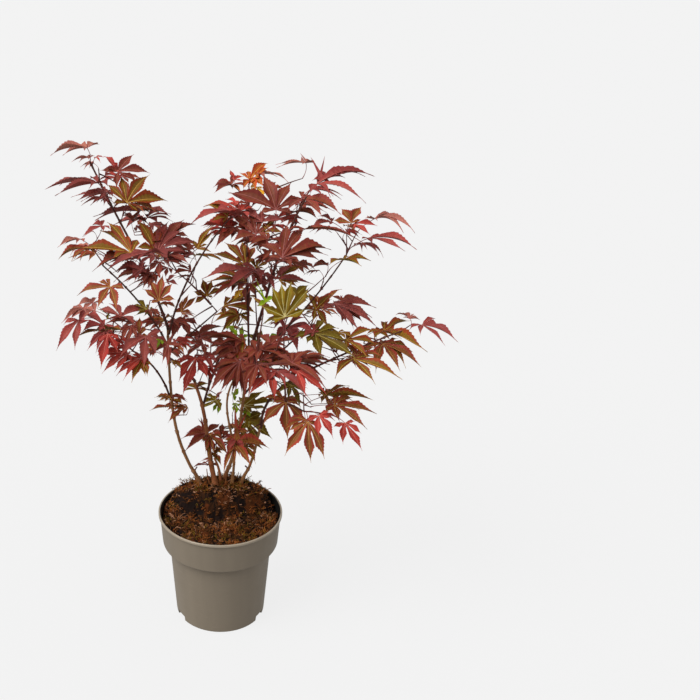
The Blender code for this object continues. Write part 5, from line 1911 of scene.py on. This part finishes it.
class MAPLE_OT_twigs(bpy.types.Operator):
    """Grow the twigs and leaf stalks out of the boughs."""

    bl_idname = "maple.twigs"
    bl_label = "Twigs and stalks"

    def execute(self, context):
        wood = context.scene.maple_wood
        rng = random.Random(31)
        twigs, stalks = Gather(), Gather()
        for path in growth().twigs:
            run = np.linalg.norm(np.diff(path, axis=0), axis=1).sum()
            stout = wood.twig_girth * min(0.85 + run / LONG_TWIG, STOUTEST_TWIG)
            thin = np.linspace(stout, wood.twig_girth * 0.62, len(path))
            add_tube(twigs, path, thin * rng.uniform(0.85, 1.15), 7)
            along, right, _ = path_frames(path)
            for sign in (-1, 1):
                add_bud(twigs, path[-2], right[-1] * sign, along[-1], rng.uniform(0.8, 1.2) * MM, 0)
        for path, length in growth().stalks:
            girth = wood.stalk_girth * (0.7 + 0.5 * min(length / 0.06, 1.2))
            add_tube(stalks, path, girth * STALK_PROFILE, 6)
        twig = wood_material("twig_bark", wood.twig, times(wood.young_bark, 1.3), 0.6, 0.15)
        shades = {"Blade": wood.stalk, "Shade": times(wood.stalk, 0.55, 0.5, 0.55)}
        stalk = finish("leaf_stalk", leaf_tissue_group, shades, STALK_RELIEF)
        add_piece("twigs", twigs, (twig,))
        add_piece("leaf_stalks", stalks, (stalk,))
        return {"FINISHED"}


class MAPLE_OT_leaves(bpy.types.Operator):
    """Build the leaves of every kind, each kind as one joined piece."""

    bl_idname = "maple.leaves"
    bl_label = "Leaves"

    def execute(self, context):
        leaves = growth().leaves
        bearers = {}
        for mass in MASSES:
            kinds = [leaf.kind for leaf in leaves if leaf.mass == mass]
            bearers.setdefault(max(sorted(set(kinds)), key=kinds.count), []).append(mass)
        for kind, made in LEAF_KINDS.items():
            gather = Gather()
            for leaf in leaves:
                if leaf.kind == kind:
                    add_leaf(gather, leaf)
            add_piece("leaves_" + kind, gather, leaf_materials(kind), bearers.get(kind, ()))
        return {"FINISHED"}


class MAPLE_OT_stage(bpy.types.Operator):
    """Set up the floor, the soft light and the camera."""

    bl_idname = "maple.stage"
    bl_label = "Stage"

    def execute(self, context):
        settings = context.scene.maple_stage
        make_floor(settings)
        make_lights(settings)
        make_camera(settings)
        context.scene.view_settings.view_transform = "Standard"
        return {"FINISHED"}


def seen_or_lit(tree, to_plant, to_camera):
    """A strength of light that is one thing for the plant and another for the camera."""
    seen = tree.nodes.new("ShaderNodeLightPath").outputs["Is Camera Ray"]
    return remap(tree, seen, 0.0, 1.0, to_plant, to_camera)


def make_floor(settings):
    """The pale floor, which gives off light of its own."""
    half = settings.floor_size / 2
    mesh = bpy.data.meshes.new("floor")
    mesh.from_pydata([(-half, -half, 0.0), (half, -half, 0.0), (half, half, 0.0), (-half, half, 0.0)], [],
                     [(0, 1, 2, 3)])
    floor = linked("floor", mesh)
    material = bpy.data.materials.new("pale_floor")
    material.use_nodes = True
    tree = material.node_tree
    shader = tree.nodes["Principled BSDF"]
    glow = seen_or_lit(tree, settings.floor_bounce, settings.floor_glow)
    for value, label in (((settings.floor_white,) * 3, "Base Color"), (1.0, "Roughness"),
                         (0.0, "Specular IOR Level"), (WHITE, "Emission Color"), (glow, "Emission Strength")):
        put(tree, value, shader.inputs[label])
    mesh.materials.append(material)


def add_sun(name, strength, softness, direction):
    """A wide soft light that shines along the direction."""
    light = bpy.data.lights.new(name, "SUN")
    light.energy = strength
    light.angle = math.radians(softness)
    linked(name, light).rotation_euler = Vector(direction).to_track_quat("-Z", "Y").to_euler()


def make_lights(settings):
    """The even light of the air and the two soft lights."""
    world = bpy.data.worlds.new("studio")
    world.use_nodes = True
    tree = world.node_tree
    sky = tree.nodes["Background"]
    put(tree, WHITE, sky.inputs["Color"])
    put(tree, seen_or_lit(tree, settings.sky, settings.backdrop), sky.inputs["Strength"])
    bpy.context.scene.world = world
    add_sun("key", settings.key, 40, (0.80, 0.48, -1.08))
    add_sun("fill", settings.fill, 50, (-0.55, 0.30, -0.80))


def make_camera(settings):
    """The camera in front of the plant, looking down at it."""
    camera = bpy.data.cameras.new("camera")
    camera.lens = settings.lens
    camera.sensor_width = SENSOR
    camera.shift_x = settings.shift
    stand = linked("camera", camera)
    stand.location = settings.camera_place
    stand.rotation_euler = (math.pi / 2 - VIEW_PITCH, 0.0, 0.0)
    bpy.context.scene.camera = stand


WHITE = (1.0, 1.0, 1.0)
OPERATORS = (MAPLE_OT_pot, MAPLE_OT_mix, MAPLE_OT_limbs, MAPLE_OT_twigs, MAPLE_OT_leaves, MAPLE_OT_stage)


class MAPLE_PT_panel(bpy.types.Panel):
    """Lists the pieces of the maple and the sizes and colours that they use."""

    bl_idname = "MAPLE_PT_panel"
    bl_label = "Potted Maple"
    bl_space_type = "VIEW_3D"
    bl_region_type = "UI"
    bl_category = "Maple"

    def draw(self, context):
        for operator in OPERATORS:
            self.layout.operator(operator.bl_idname)
        for name in SETTINGS:
            box = self.layout.box()
            group = getattr(context.scene, name)
            for prop in group.bl_rna.properties:
                if prop.identifier not in {"rna_type", "name"}:
                    box.prop(group, prop.identifier)


SETTINGS = {
    "maple_colours": MapleLeafColours,
    "maple_shape": MapleLeafShape,
    "maple_wood": MapleWood,
    "maple_pot": MaplePot,
    "maple_stage": MapleStage,
}


def register():
    """Registers the settings, the operators and the panel."""
    for group in SETTINGS.values():
        bpy.utils.register_class(group)
    for name, group in SETTINGS.items():
        setattr(bpy.types.Scene, name, PointerProperty(type=group))
    for shown in (*OPERATORS, MAPLE_PT_panel):
        bpy.utils.register_class(shown)


def unregister():
    """Takes them out again, in the opposite order."""
    for shown in (MAPLE_PT_panel, *reversed(OPERATORS)):
        bpy.utils.unregister_class(shown)
    for name, group in reversed(SETTINGS.items()):
        delattr(bpy.types.Scene, name)
        bpy.utils.unregister_class(group)


def main():
    """Builds every piece in order."""
    register()
    for operator in OPERATORS:
        family, name = operator.bl_idname.split(".")
        getattr(getattr(bpy.ops, family), name)()
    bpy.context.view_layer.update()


if __name__ == "__main__":
    main()
